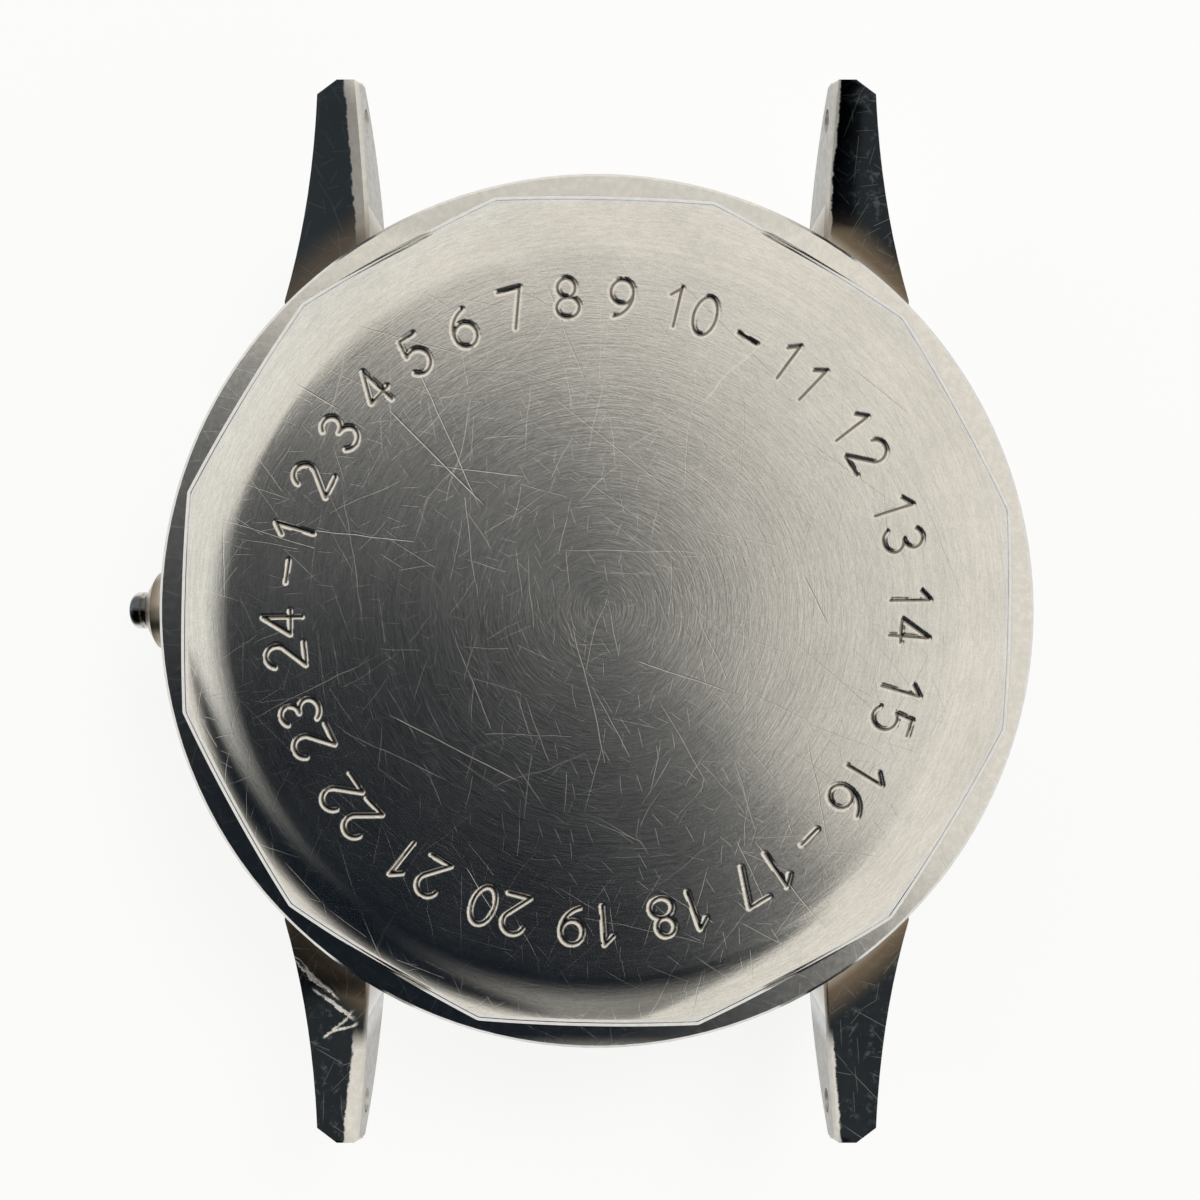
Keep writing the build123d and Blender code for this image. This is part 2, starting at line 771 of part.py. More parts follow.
def add_hand(place, angle, level, length, width, eye_radius, hole):
    """A pointed hand with a round eye and a short tail."""
    with BuildSketch(Plane.XY.offset(level)) as outline:
        with Locations(Location(place, angle)):
            Polygon(
                (-eye_radius - width, -width / 4),
                (length / 3, -width / 2),
                (length, -width / 10),
                (length, width / 10),
                (length / 3, width / 2),
                (-eye_radius - width, width / 4),
                align=None,
            )
            Circle(eye_radius)
            if hole:
                Circle(hole, mode=Mode.SUBTRACT)
    extrude(outline.sketch, amount=hand_thickness)


hour_pipe_radius = 0.75
hour_pipe_bore = 0.55
cannon_radius = 0.5
centre_arbor_radius = 0.28
eye_rim = 0.3
with BuildPart() as hour_hand:
    add_hand(centre_at, hour_hand_angle, hour_hand_z, hour_hand_length, hour_hand_width,
             hour_pipe_radius + eye_rim, hour_pipe_radius)
save(hour_hand.part, "hour_hand")

with BuildPart() as minute_hand:
    add_hand(centre_at, minute_hand_angle, minute_hand_z, minute_hand_length, minute_hand_width,
             cannon_radius + eye_rim, cannon_radius)
save(minute_hand.part, "minute_hand")

with BuildPart() as seconds_hand:
    add_hand(fourth_at, seconds_hand_angle, seconds_hand_z, seconds_hand_length,
             seconds_hand_width, eye_rim, pivot_radius)
save(seconds_hand.part, "seconds_hand")

# Motion works between dial and plate
hour_wheel_z = plate_z + loose_gap
minute_pinion_z = hour_wheel_z
minute_wheel_z = hour_wheel_z + wheel_thickness + run_gap
recess_floor = plate_z + motion_recess
cannon_first = mesh_angle(cannon_teeth, 180)
minute_first = mesh_angle(minute_teeth, 0, cannon_teeth, cannon_first, 180)
setting_first = mesh_angle(setting_teeth, 0, minute_teeth, minute_first, 180)
minute_pinion_first = mesh_angle(minute_pinion_teeth, 0)
hour_first = mesh_angle(hour_teeth, 180, minute_pinion_teeth, minute_pinion_first, 0)
minute_post_radius = 0.25

with BuildPart() as hour_wheel:
    extrude(sketch_gear(centre_at, hour_wheel_z, hour_teeth, hour_module, hour_first, hour_pipe_bore),
            amount=wheel_thickness)
    extrude(sketch_disc(centre_at, hour_hand_z, hour_pipe_radius, hour_pipe_bore),
            amount=hour_wheel_z - hour_hand_z)
save(hour_wheel.part, "hour_wheel")

with BuildPart() as cannon_pinion:
    extrude(sketch_gear(centre_at, minute_wheel_z, cannon_teeth, motion_module, cannon_first,
                        centre_arbor_radius), amount=wheel_thickness)
    extrude(sketch_disc(centre_at, minute_hand_z, cannon_radius, centre_arbor_radius),
            amount=minute_wheel_z - minute_hand_z)
save(cannon_pinion.part, "cannon_pinion")

with BuildPart() as minute_wheel:
    extrude(sketch_gear(minute_at, minute_pinion_z, minute_pinion_teeth, hour_module,
                        minute_pinion_first, 0), amount=minute_wheel_z - minute_pinion_z)
    extrude(sketch_gear(minute_at, minute_wheel_z, minute_teeth, motion_module, minute_first, 0),
            amount=wheel_thickness)
    extrude(sketch_disc(minute_at, minute_pinion_z, minute_post_radius + run_gap),
            amount=minute_wheel_z + wheel_thickness - minute_pinion_z, mode=Mode.SUBTRACT)
save(minute_wheel.part, "minute_wheel")

with BuildPart() as setting_wheel:
    extrude(sketch_gear(setting_at, minute_wheel_z, setting_teeth, motion_module, setting_first,
                        minute_post_radius + run_gap), amount=wheel_thickness)
save(setting_wheel.part, "setting_wheel")

# Main plate: disc with pads, wheel pockets, motion recess, winding slots and screw holes
jewel_places = ((third_at, escape_floor), (fourth_at, pocket_floor), (escape_at, pocket_floor),
                (pallet_at, escape_floor), (balance_at, escape_floor))
pinion_slot_radius = winding_pinion_radius + pinion_slot_gap
clutch_slot_half = clutch_radius + loose_gap
lever_pivot = (lever_pivot_x, lever_pivot_y)
yoke_pivot = (yoke_pivot_x, yoke_pivot_y)
lever_rest = (-stem_groove_place, 0)
lever_pulled = (-stem_groove_place - lever_shift, 0)
yoke_rest = (-clutch_groove_place, 0)
yoke_pulled = (-clutch_groove_place + lever_shift, 0)
recess_margin = 0.15
lever_recess_top = lever_z + lever_thickness + run_gap
post_slot_half = post_radius + post_slot_gap


def cut_pocket(place, radius, floor_z):
    """A round pocket cut from the plate's top down to floor_z."""
    extrude(sketch_disc(place, floor_z, radius), amount=plate_top + overrun - floor_z,
            mode=Mode.SUBTRACT)


with BuildPart() as main_plate:
    with BuildSketch(Plane.XY.offset(plate_z)):
        Circle(plate_radius)
    extrude(amount=plate_thickness)
    with BuildSketch(Plane.XY.offset(plate_top)):
        with Locations(*pads):
            Circle(pad_radius)
    extrude(amount=ring_top - plate_top)
    cut_pocket(barrel_at, barrel_pitch_radius + barrel_module + pocket_gap, pocket_floor)
    cut_pocket(centre_at, hub_radius + hub_radius, pocket_floor)
    cut_pocket(fourth_at, fourth_pitch_radius + pocket_gap, pocket_floor)
    cut_pocket(escape_at, hub_radius, pocket_floor)
    cut_pocket(escape_at, escape_radius + pocket_gap, escape_floor)
    cut_pocket(third_at, third_pitch_radius + third_module + loose_gap, escape_floor)
    cut_pocket(pallet_at, anchor_inner_radius - rim_width - arm_width, escape_floor)
    cut_pocket(balance_at, roller_radius + rim_width, escape_floor)
    extrude(sketch_link(((pallet_at, hub_radius + arm_width), (balance_at, hub_radius + arm_width)),
                        escape_floor), amount=plate_thickness, mode=Mode.SUBTRACT)
    with BuildSketch(Plane.XY.offset(plate_z)):
        Circle(hour_teeth * hour_module / 2 + pocket_gap)
        with Locations(minute_at):
            Circle(minute_teeth * motion_module / 2 + pocket_gap)
        with Locations(setting_at):
            Circle(setting_teeth * motion_module / 2 + pocket_gap)
    extrude(amount=motion_recess, mode=Mode.SUBTRACT)
    with BuildSketch(Plane.XY.offset(hour_wheel_z)):
        with Locations(minute_at, setting_at):
            Circle(minute_post_radius)
    extrude(amount=motion_recess)
    extrude(sketch_link(((lever_pivot, lever_hub_radius + recess_margin),
                         (lever_rest, lever_end_radius), (lever_pulled, lever_end_radius)), plate_z),
            amount=lever_recess_top - plate_z, mode=Mode.SUBTRACT)
    extrude(sketch_link(((yoke_pivot, lever_hub_radius + recess_margin),
                         (yoke_rest, lever_end_radius + recess_margin),
                         (yoke_pulled, lever_end_radius + recess_margin)), plate_z),
            amount=lever_recess_top - plate_z, mode=Mode.SUBTRACT)
    with BuildSketch(Plane.XY.offset(lever_z)):
        with Locations(lever_pivot, yoke_pivot):
            Circle(stud_hole_radius + run_gap)
    extrude(amount=plate_thickness / 2, mode=Mode.SUBTRACT)
    with BuildSketch(Plane.XY.offset(plate_z)):
        with Locations((-stem_groove_place - lever_shift / 2 - overrun / 2, 0)):
            Rectangle(lever_shift + 2 * post_slot_half + overrun, 2 * post_slot_half)
    extrude(amount=plate_thickness, mode=Mode.SUBTRACT)
    with BuildSketch(Plane.XY.offset(plate_z + recess_margin)):
        with Locations((-pinion_start + pinion_length / 2, 0)):
            Rectangle(pinion_length + loose_gap, 2 * pinion_slot_radius)
    extrude(amount=plate_thickness, mode=Mode.SUBTRACT)
    clutch_room_start = pinion_start - pinion_length
    clutch_room_end = pilot_start - run_gap
    with BuildSketch(Plane.XY.offset(lever_recess_top - run_gap)):
        with Locations((-(clutch_room_start + clutch_room_end) / 2, 0)):
            Rectangle(clutch_room_start - clutch_room_end, 2 * clutch_slot_half)
    extrude(amount=plate_thickness, mode=Mode.SUBTRACT)
    with BuildSketch(Plane.XY.offset(plate_top)):
        with Locations((-(pilot_start + pilot_end) / 2 + run_gap, 0)):
            Rectangle(pilot_start - pilot_end - loose_gap, 4 * pilot_radius)
    extrude(amount=stem_z + 2 * pilot_radius - plate_top)
    with BuildSketch(crown_plane.offset(pilot_end - overrun / 2)):
        Circle(pilot_radius + run_gap)
    extrude(amount=overrun + overrun, mode=Mode.SUBTRACT)
    with BuildSketch(crown_plane.offset(pinion_start)):
        Circle(collar_radius + run_gap)
    extrude(amount=overrun + overrun, mode=Mode.SUBTRACT)
    for place, floor_z in jewel_places:
        extrude(sketch_disc(place, plate_z, jewel_radius), amount=floor_z - plate_z,
                mode=Mode.SUBTRACT)
    with BuildSketch(Plane.XY.offset(screw_foot_z)):
        with Locations(*pads, *barrel_feet, *train_feet, cock_foot):
            Circle(screw_radius)
    extrude(amount=ring_top, mode=Mode.SUBTRACT)
    with BuildSketch(Plane.XY.offset(screw_foot_z)):
        with Locations(*pallet_feet):
            Circle(small_screw_radius)
    extrude(amount=ring_top, mode=Mode.SUBTRACT)
    with BuildSketch(Plane.XY.offset(plate_z)):
        with Locations(*dial_feet):
            Circle(dial_foot_radius + run_gap)
    extrude(amount=dial_foot_length + loose_gap, mode=Mode.SUBTRACT)
    extrude(sketch_disc(centre_at, plate_z, centre_arbor_radius + run_gap), amount=plate_thickness,
            mode=Mode.SUBTRACT)
    extrude(sketch_disc(barrel_at, recess_floor, barrel_pivot_radius + run_gap),
            amount=plate_thickness, mode=Mode.SUBTRACT)
save(main_plate.part, "main_plate")

# Jewels: pierced discs in the plate, the bridges and the cock
upper_jewels = (third_at, fourth_at, escape_at, balance_at)
with BuildPart() as jewels:
    for place, floor_z in jewel_places:
        extrude(sketch_disc(place, floor_z - jewel_thickness, jewel_radius, pivot_radius + run_gap / 2),
                amount=jewel_thickness)
    for place in upper_jewels:
        extrude(sketch_disc(place, bridge_z, jewel_radius, pivot_radius + run_gap / 2),
                amount=jewel_thickness)
    extrude(sketch_disc(centre_at, bridge_z, jewel_radius + loose_gap, centre_arbor_radius),
            amount=jewel_thickness)
    extrude(sketch_disc(pallet_at, pallet_bridge_z, small_jewel_radius, pivot_radius + run_gap / 2),
            amount=pallet_bridge_thickness)
save(jewels.part, "jewels")

# Barrel bridge, train bridge, pallet bridge and balance cock
bridge_line_shares = ((-1.1, -0.28), (-0.347, -0.28), (-0.195, -0.124), (0.125, -0.116),
                      (0.41, 0.107), (1.1, 0.107))
bridge_line = [(x * bridge_radius, y * bridge_radius) for x, y in bridge_line_shares]
train_line = [(x, y - bridge_gap) for x, y in bridge_line[2:]]
train_edge_shares = ((-0.107, -1.1), (-0.142, -0.729), (-0.333, -0.409), (-0.316, -0.267))
train_edge = [(x * bridge_radius, y * bridge_radius) for x, y in train_edge_shares]
corner = (bridge_radius + overrun, -bridge_radius - overrun)
recess_depth_z = winding_z - run_gap
bridge_top = bridge_z + barrel_bridge_thickness


def cut_screw_seats(places, top_z, bottom_z):
    """Counterbored holes for the bridge screws."""
    extrude(sketch_discs(places, bottom_z - overrun, screw_radius),
            amount=top_z - bottom_z + overrun + overrun, mode=Mode.SUBTRACT)
    extrude(sketch_discs(places, top_z - screw_head_height, screw_head_radius + run_gap),
            amount=overrun, mode=Mode.SUBTRACT)


with BuildPart() as barrel_bridge:
    with BuildSketch(Plane.XY.offset(bridge_z)):
        Circle(bridge_radius)
        with BuildLine():
            Polyline(*bridge_line, (corner[0], -corner[1]), (-corner[0], -corner[1]), close=True)
        make_face(mode=Mode.INTERSECT)
        with Locations(*pads):
            Circle(pad_radius + pad_radius, mode=Mode.SUBTRACT)
    extrude(amount=barrel_bridge_thickness)
    with BuildSketch(Plane.XY.offset(plate_top)):
        with Locations(*barrel_feet):
            Circle(foot_radius)
    extrude(amount=bridge_z - plate_top)
    with BuildSketch(Plane.XY.offset(recess_depth_z)):
        with Locations(barrel_at):
            Circle(ratchet_pitch_radius + winding_module + loose_gap)
        with Locations(crown_wheel_at):
            Circle(crown_pitch_radius + winding_module + loose_gap)
    extrude(amount=overrun, mode=Mode.SUBTRACT)
    click_room = ((click_at, click_spring_radius + pocket_gap), (click_beak_at, click_radius),
                  (click_spring_foot_at, click_spring_foot_radius + loose_gap))
    extrude(sketch_link(click_room, recess_depth_z), amount=overrun, mode=Mode.SUBTRACT)
    extrude(sketch_disc(crown_wheel_at, recess_depth_z, crown_post_radius),
            amount=wheel_thickness + loose_gap)
    extrude(sketch_disc(crown_wheel_at, bridge_z + loose_gap, screw_radius), amount=overrun,
            mode=Mode.SUBTRACT)
    extrude(sketch_disc(barrel_at, bridge_z, barrel_pivot_radius + run_gap), amount=overrun,
            mode=Mode.SUBTRACT)
    extrude(sketch_disc(centre_at, bridge_z, jewel_radius + loose_gap), amount=overrun,
            mode=Mode.SUBTRACT)
    with BuildSketch(crown_plane.offset(pinion_start - pinion_length - run_gap)):
        Circle(pinion_slot_radius + run_gap)
    extrude(amount=pinion_length + loose_gap, mode=Mode.SUBTRACT)
    with BuildSketch(crown_plane.offset(clutch_room_end)):
        Circle(clutch_slot_half)
    extrude(amount=clutch_room_start - clutch_room_end + run_gap, mode=Mode.SUBTRACT)
    with BuildSketch(Plane.XY.offset(bridge_z + loose_gap)):
        with Locations(click_at, click_spring_foot_at):
            Circle(small_screw_radius)
    extrude(amount=overrun, mode=Mode.SUBTRACT)
    cut_screw_seats(barrel_feet, bridge_top, plate_top)
save(barrel_bridge.part, "barrel_bridge")

train_top = bridge_z + train_bridge_thickness
with BuildPart() as train_bridge:
    with BuildSketch(Plane.XY.offset(bridge_z)):
        Circle(bridge_radius)
        with BuildLine():
            Polyline(*train_line, corner, *train_edge, close=True)
        make_face(mode=Mode.INTERSECT)
        with Locations(*pads):
            Circle(pad_radius + pad_radius, mode=Mode.SUBTRACT)
        with Locations(*upper_jewels[:3]):
            Circle(jewel_radius, mode=Mode.SUBTRACT)
    extrude(amount=train_bridge_thickness)
    with BuildSketch(Plane.XY.offset(plate_top)):
        with Locations(*train_feet):
            Circle(foot_radius)
    extrude(amount=bridge_z - plate_top)
    cut_screw_seats(train_feet, train_top, plate_top)
save(train_bridge.part, "train_bridge")

cock_top = bridge_z + cock_thickness
regulator_boss_radius = 0.6
regulator_height = 0.15
with BuildPart() as balance_cock:
    extrude(sketch_link(((cock_foot, cock_foot_radius), (balance_at, cock_end_radius)), bridge_z),
            amount=cock_thickness)
    extrude(sketch_disc(cock_foot, plate_top, cock_foot_radius), amount=bridge_z - plate_top)
    extrude(sketch_disc(balance_at, cock_top, regulator_boss_radius), amount=regulator_height)
    extrude(sketch_disc(balance_at, bridge_z, jewel_radius), amount=jewel_thickness,
            mode=Mode.SUBTRACT)
    cut_screw_seats((cock_foot,), cock_top, plate_top)
save(balance_cock.part, "balance_cock")

pallet_bridge_top = pallet_bridge_z + pallet_bridge_thickness
with BuildPart() as pallet_bridge:
    extrude(sketch_link([(foot, pallet_foot_radius) for foot in pallet_feet], pallet_bridge_z),
            amount=pallet_bridge_thickness)
    with BuildSketch(Plane.XY.offset(plate_top)):
        with Locations(*pallet_feet):
            Circle(pallet_foot_radius)
    extrude(amount=pallet_bridge_z - plate_top)
    extrude(sketch_disc(pallet_at, pallet_bridge_z, small_jewel_radius), amount=overrun,
            mode=Mode.SUBTRACT)
    with BuildSketch(Plane.XY.offset(plate_top)):
        with Locations(*pallet_feet):
            Circle(small_screw_radius)
    extrude(amount=overrun, mode=Mode.SUBTRACT)
    with BuildSketch(Plane.XY.offset(pallet_bridge_top - small_head_height)):
        with Locations(*pallet_feet):
            Circle(small_head_radius + run_gap)
    extrude(amount=overrun, mode=Mode.SUBTRACT)
save(pallet_bridge.part, "pallet_bridge")

with BuildPart() as bridge_screws:
    for feet, top_z in ((barrel_feet, bridge_top), (train_feet, train_top), ((cock_foot,), cock_top)):
        add_screws(feet, top_z - screw_head_height, screw_head_radius, screw_head_height,
                   screw_radius, screw_foot_z)
save(bridge_screws.part, "bridge_screws")

with BuildPart() as pallet_screws:
    add_screws(pallet_feet, pallet_bridge_top - small_head_height, small_head_radius,
               small_head_height, small_screw_radius, screw_foot_z)
save(pallet_screws.part, "pallet_screws")

# Barrel, cover, mainspring and arbor
barrel_first = mesh_angle(barrel_teeth, barrel_angle + 180)
centre_pinion_first = mesh_angle(centre_pinion_teeth, barrel_angle, barrel_teeth, barrel_first,
                                 barrel_angle + 180)
drum_inner = drum_radius - drum_wall
barrel_top = barrel_z + barrel_height
with BuildPart() as barrel:
    extrude(sketch_gear(barrel_at, barrel_z, barrel_teeth, barrel_module, barrel_first,
                        barrel_pivot_radius + run_gap), amount=barrel_flange)
    extrude(sketch_disc(barrel_at, barrel_z, drum_radius, barrel_pivot_radius + run_gap),
            amount=barrel_height)
    extrude(sketch_disc(barrel_at, barrel_z + barrel_floor, drum_inner), amount=barrel_height,
            mode=Mode.SUBTRACT)
save(barrel.part, "barrel")

with BuildPart() as barrel_cover:
    extrude(sketch_disc(barrel_at, barrel_top - barrel_floor, drum_inner,
                        barrel_pivot_radius + run_gap), amount=barrel_floor)
save(barrel_cover.part, "barrel_cover")

spring_low = barrel_z + barrel_floor + run_gap
spring_high = barrel_top - barrel_floor - run_gap
with BuildPart() as barrel_arbor:
    extrude(sketch_disc(barrel_at, recess_floor + run_gap, barrel_pivot_radius),
            amount=winding_z - run_gap - recess_floor)
    extrude(sketch_disc(barrel_at, spring_low, arbor_core_radius), amount=spring_high - spring_low)
    with BuildSketch(Plane.XY.offset(winding_z)):
        with Locations(barrel_at):
            Rectangle(arbor_square, arbor_square)
    extrude(amount=wheel_thickness + loose_gap)
    extrude(sketch_disc(barrel_at, barrel_top, screw_radius), amount=overrun + overrun,
            mode=Mode.SUBTRACT)
save(barrel_arbor.part, "barrel_arbor")

with BuildPart() as mainspring:
    extrude(sketch_spiral(barrel_at, spring_low, arbor_core_radius + loose_gap,
                          drum_inner - loose_gap, mainspring_turns, mainspring_thickness, 0),
            amount=spring_high - spring_low)
save(mainspring.part, "mainspring")

# Ratchet wheel, crown wheel, their screws, click and click spring
ratchet_line = bearing(barrel_at, crown_wheel_at)
ratchet_first = mesh_angle(ratchet_teeth, ratchet_line)
crown_first = mesh_angle(crown_teeth, ratchet_line + 180, ratchet_teeth, ratchet_first, ratchet_line)
winding_wheel_thickness = wheel_thickness + loose_gap
winding_top = winding_z + winding_wheel_thickness
with BuildPart() as ratchet_wheel:
    extrude(sketch_gear(barrel_at, winding_z, ratchet_teeth, winding_module, ratchet_first, 0),
            amount=winding_wheel_thickness)
    with BuildSketch(Plane.XY.offset(winding_z)):
        with Locations(barrel_at):
            Rectangle(arbor_square, arbor_square)
    extrude(amount=winding_wheel_thickness, mode=Mode.SUBTRACT)
save(ratchet_wheel.part, "ratchet_wheel")

with BuildPart() as ratchet_screw:
    add_screws((barrel_at,), winding_top, ratchet_screw_radius, screw_head_height / 2, screw_radius,
               bridge_z)
save(ratchet_screw.part, "ratchet_screw")

with BuildPart() as crown_wheel:
    extrude(sketch_gear(crown_wheel_at, winding_z, crown_teeth, winding_module, crown_first,
                        crown_post_radius + run_gap), amount=winding_wheel_thickness)
save(crown_wheel.part, "crown_wheel")

with BuildPart() as crown_wheel_screw:
    add_screws((crown_wheel_at,), winding_top + run_gap, crown_screw_radius, screw_head_height / 2,
               screw_radius, bridge_z + loose_gap)
    extrude(sketch_disc(crown_wheel_at, recess_depth_z + winding_wheel_thickness, crown_post_radius),
            amount=winding_top + run_gap - recess_depth_z - winding_wheel_thickness)
save(crown_wheel_screw.part, "crown_wheel_screw")

with BuildPart() as click:
    extrude(sketch_link(((click_at, click_radius), (click_beak_at, click_beak_radius)), winding_z),
            amount=winding_wheel_thickness)
    extrude(sketch_disc(click_at, bridge_z + loose_gap + run_gap, small_screw_radius - run_gap / 2),
            amount=winding_z - bridge_z)
save(click.part, "click")

with BuildPart() as click_spring:
    with BuildSketch(Plane.XY.offset(winding_z)):
        with Locations(click_at):
            Circle(click_spring_radius)
            Circle(click_spring_radius - click_spring_width, mode=Mode.SUBTRACT)
        with BuildLine():
            Polyline(click_at, moved(click_at, polar(overrun + overrun, 60)),
                     moved(click_at, polar(4 * overrun, 165)),
                     moved(click_at, polar(overrun + overrun, 270)), close=True)
        make_face(mode=Mode.INTERSECT)
        with Locations(click_spring_foot_at):
            Circle(click_spring_foot_radius)
        add(sketch_link(((click_spring_foot_at, click_spring_width / 2),
                         (moved(click_at, (0, -click_spring_radius + click_spring_width / 2)),
                          click_spring_width / 2)), 0))
    extrude(amount=wheel_thickness)
    extrude(sketch_disc(click_spring_foot_at, bridge_z + loose_gap, small_screw_radius),
            amount=winding_z - bridge_z - loose_gap)
save(click_spring.part, "click_spring")


# Train wheels
def add_arbor(place, low_z, high_z, radius=arbor_radius):
    """An arbor that stands between two jewels, with a thin pivot in each."""
    extrude(sketch_disc(place, low_z, radius), amount=high_z - low_z)
    extrude(sketch_disc(place, low_z - jewel_thickness + run_gap, pivot_radius),
            amount=high_z - low_z + 2 * jewel_thickness - 2 * run_gap)


third_line = third_angle
centre_first = mesh_angle(centre_teeth, third_line)
third_pinion_first = mesh_angle(third_pinion_teeth, third_line + 180, centre_teeth, centre_first,
                                third_line)
fourth_line = bearing(third_at, fourth_at)
third_first = mesh_angle(third_teeth, fourth_line)
fourth_pinion_first = mesh_angle(fourth_pinion_teeth, fourth_line + 180, third_teeth, third_first,
                                 fourth_line)
fourth_first = mesh_angle(fourth_teeth, escape_angle)
escape_pinion_first = mesh_angle(escape_pinion_teeth, escape_angle + 180, fourth_teeth, fourth_first,
                                 escape_angle)
arbor_gap = run_gap / 2

with BuildPart() as centre_wheel:
    extrude(sketch_wheel(centre_at, centre_z, centre_teeth, centre_module, centre_first, 0),
            amount=wheel_thickness)
    extrude(sketch_gear(centre_at, barrel_z, centre_pinion_teeth, barrel_module,
                        centre_pinion_first, 0), amount=barrel_flange)
    extrude(sketch_disc(centre_at, pocket_floor + arbor_gap, hub_radius), amount=centre_z - pocket_floor)
    extrude(sketch_disc(centre_at, minute_hand_z, centre_arbor_radius - arbor_gap),
            amount=bridge_z + jewel_thickness - minute_hand_z)
save(centre_wheel.part, "centre_wheel")

with BuildPart() as third_wheel:
    extrude(sketch_wheel(third_at, third_z, third_teeth, third_module, third_first, 0),
            amount=wheel_thickness)
    extrude(sketch_gear(third_at, centre_z - loose_gap, third_pinion_teeth, centre_module,
                        third_pinion_first, 0), amount=wheel_thickness + 2 * loose_gap)
    add_arbor(third_at, escape_floor + arbor_gap, bridge_z - arbor_gap)
save(third_wheel.part, "third_wheel")

with BuildPart() as fourth_wheel:
    extrude(sketch_wheel(fourth_at, fourth_z, fourth_teeth, fourth_module, fourth_first, 0),
            amount=wheel_thickness)
    extrude(sketch_gear(fourth_at, third_z - loose_gap, fourth_pinion_teeth, third_module,
                        fourth_pinion_first, 0), amount=wheel_thickness + 2 * loose_gap)
    add_arbor(fourth_at, pocket_floor + arbor_gap, bridge_z - arbor_gap)
    extrude(sketch_disc(fourth_at, seconds_hand_z, pivot_radius), amount=pocket_floor - seconds_hand_z)
save(fourth_wheel.part, "fourth_wheel")

with BuildPart() as escape_wheel:
    with BuildSketch(Plane.XY.offset(escape_z)):
        with Locations(escape_at):
            escape_outline = []
            for tooth in range(escape_teeth):
                tooth_angle = tooth * 360 / escape_teeth
                escape_outline.append(polar(escape_root_radius, tooth_angle))
                escape_outline.append(polar(escape_radius, tooth_angle + 240 / escape_teeth))
                escape_outline.append(polar(escape_radius, tooth_angle + 300 / escape_teeth))
                escape_outline.append(polar(escape_root_radius, tooth_angle + 290 / escape_teeth))
            add(Face(Wire.make_polygon([Vector(*p) for p in escape_outline])))
            Circle(escape_root_radius - rim_width / 2, mode=Mode.SUBTRACT)
            for turn in range(arms // 2):
                Rectangle(2 * escape_root_radius - rim_width / 2, arm_width, rotation=turn * 360 / arms)
            Circle(hub_radius)
    extrude(amount=wheel_thickness)
    extrude(sketch_gear(escape_at, fourth_z - loose_gap / 2, escape_pinion_teeth, fourth_module,
                        escape_pinion_first, 0), amount=wheel_thickness + loose_gap)
    add_arbor(escape_at, pocket_floor + arbor_gap, bridge_z - arbor_gap)
save(escape_wheel.part, "escape_wheel")

# Pallet fork: anchor around the escape wheel, lever and fork towards the balance
lever_line = Location(pallet_at, escape_line_angle)
with BuildPart() as pallet_fork:
    with BuildSketch(Plane.XY.offset(escape_z)):
        with Locations(escape_at):
            Circle(anchor_inner_radius + anchor_width)
            Circle(anchor_inner_radius, mode=Mode.SUBTRACT)
        with BuildLine():
            Polyline(escape_at,
                     moved(escape_at, polar(2 * escape_distance, escape_line_angle - anchor_half_angle)),
                     moved(escape_at, polar(2 * escape_distance, escape_line_angle + anchor_half_angle)),
                     close=True)
        make_face(mode=Mode.INTERSECT)
        with Locations(lever_line):
            with Locations((lever_length / 2, 0)):
                Rectangle(lever_length, lever_width)
            with Locations((lever_length - fork_depth / 2, 0)):
                Rectangle(fork_depth, fork_width)
            with Locations((lever_length, 0)):
                Rectangle(fork_depth, fork_notch, mode=Mode.SUBTRACT)
            Circle(arbor_radius)
    extrude(amount=wheel_thickness)
    add_arbor(pallet_at, escape_floor + arbor_gap, pallet_bridge_z - arbor_gap)
save(pallet_fork.part, "pallet_fork")

with BuildPart() as balance_wheel:
    with BuildSketch(Plane.XY.offset(balance_z)):
        with Locations(balance_at):
            Circle(balance_radius)
            Circle(balance_radius - balance_rim, mode=Mode.SUBTRACT)
            Rectangle(2 * balance_radius - balance_rim, arm_width)
            Circle(hub_radius)
    extrude(amount=balance_height)
    extrude(sketch_disc(balance_at, roller_z, roller_radius), amount=roller_thickness)
    impulse_pin_at = moved(balance_at, polar(impulse_pin_circle_radius, escape_line_angle + 180))
    extrude(sketch_disc(impulse_pin_at, escape_z, impulse_pin_radius), amount=roller_z - escape_z)
    extrude(sketch_disc(balance_at, hairspring_z - loose_gap, collet_radius),
            amount=hairspring_height + 2 * loose_gap)
    add_arbor(balance_at, escape_floor + arbor_gap, bridge_z - arbor_gap)
save(balance_wheel.part, "balance_wheel")

with BuildPart() as hairspring:
    stud_angle = bearing(balance_at, cock_foot)
    extrude(sketch_spiral(balance_at, hairspring_z, hairspring_inner, hairspring_outer,
                          hairspring_turns, hairspring_thickness, stud_angle),
            amount=hairspring_height)
    extrude(sketch_disc(moved(balance_at, polar(hairspring_outer, stud_angle)), hairspring_z,
                        stud_radius), amount=bridge_z - hairspring_z)
save(hairspring.part, "hairspring")

with BuildPart() as regulator:
    with BuildSketch(Plane.XY.offset(cock_top)):
        with Locations(balance_at):
            Circle(regulator_boss_radius + pad_radius / 2)
            Circle(regulator_boss_radius + run_gap, mode=Mode.SUBTRACT)
        add(sketch_link(((moved(balance_at, polar(regulator_boss_radius, stud_angle)), arbor_radius),
                         (moved(balance_at, polar(2 * cock_end_radius, stud_angle)), pivot_radius)), 0))
        with Locations(balance_at):
            Circle(regulator_boss_radius + run_gap, mode=Mode.SUBTRACT)
    extrude(amount=regulator_height)
save(regulator.part, "regulator")

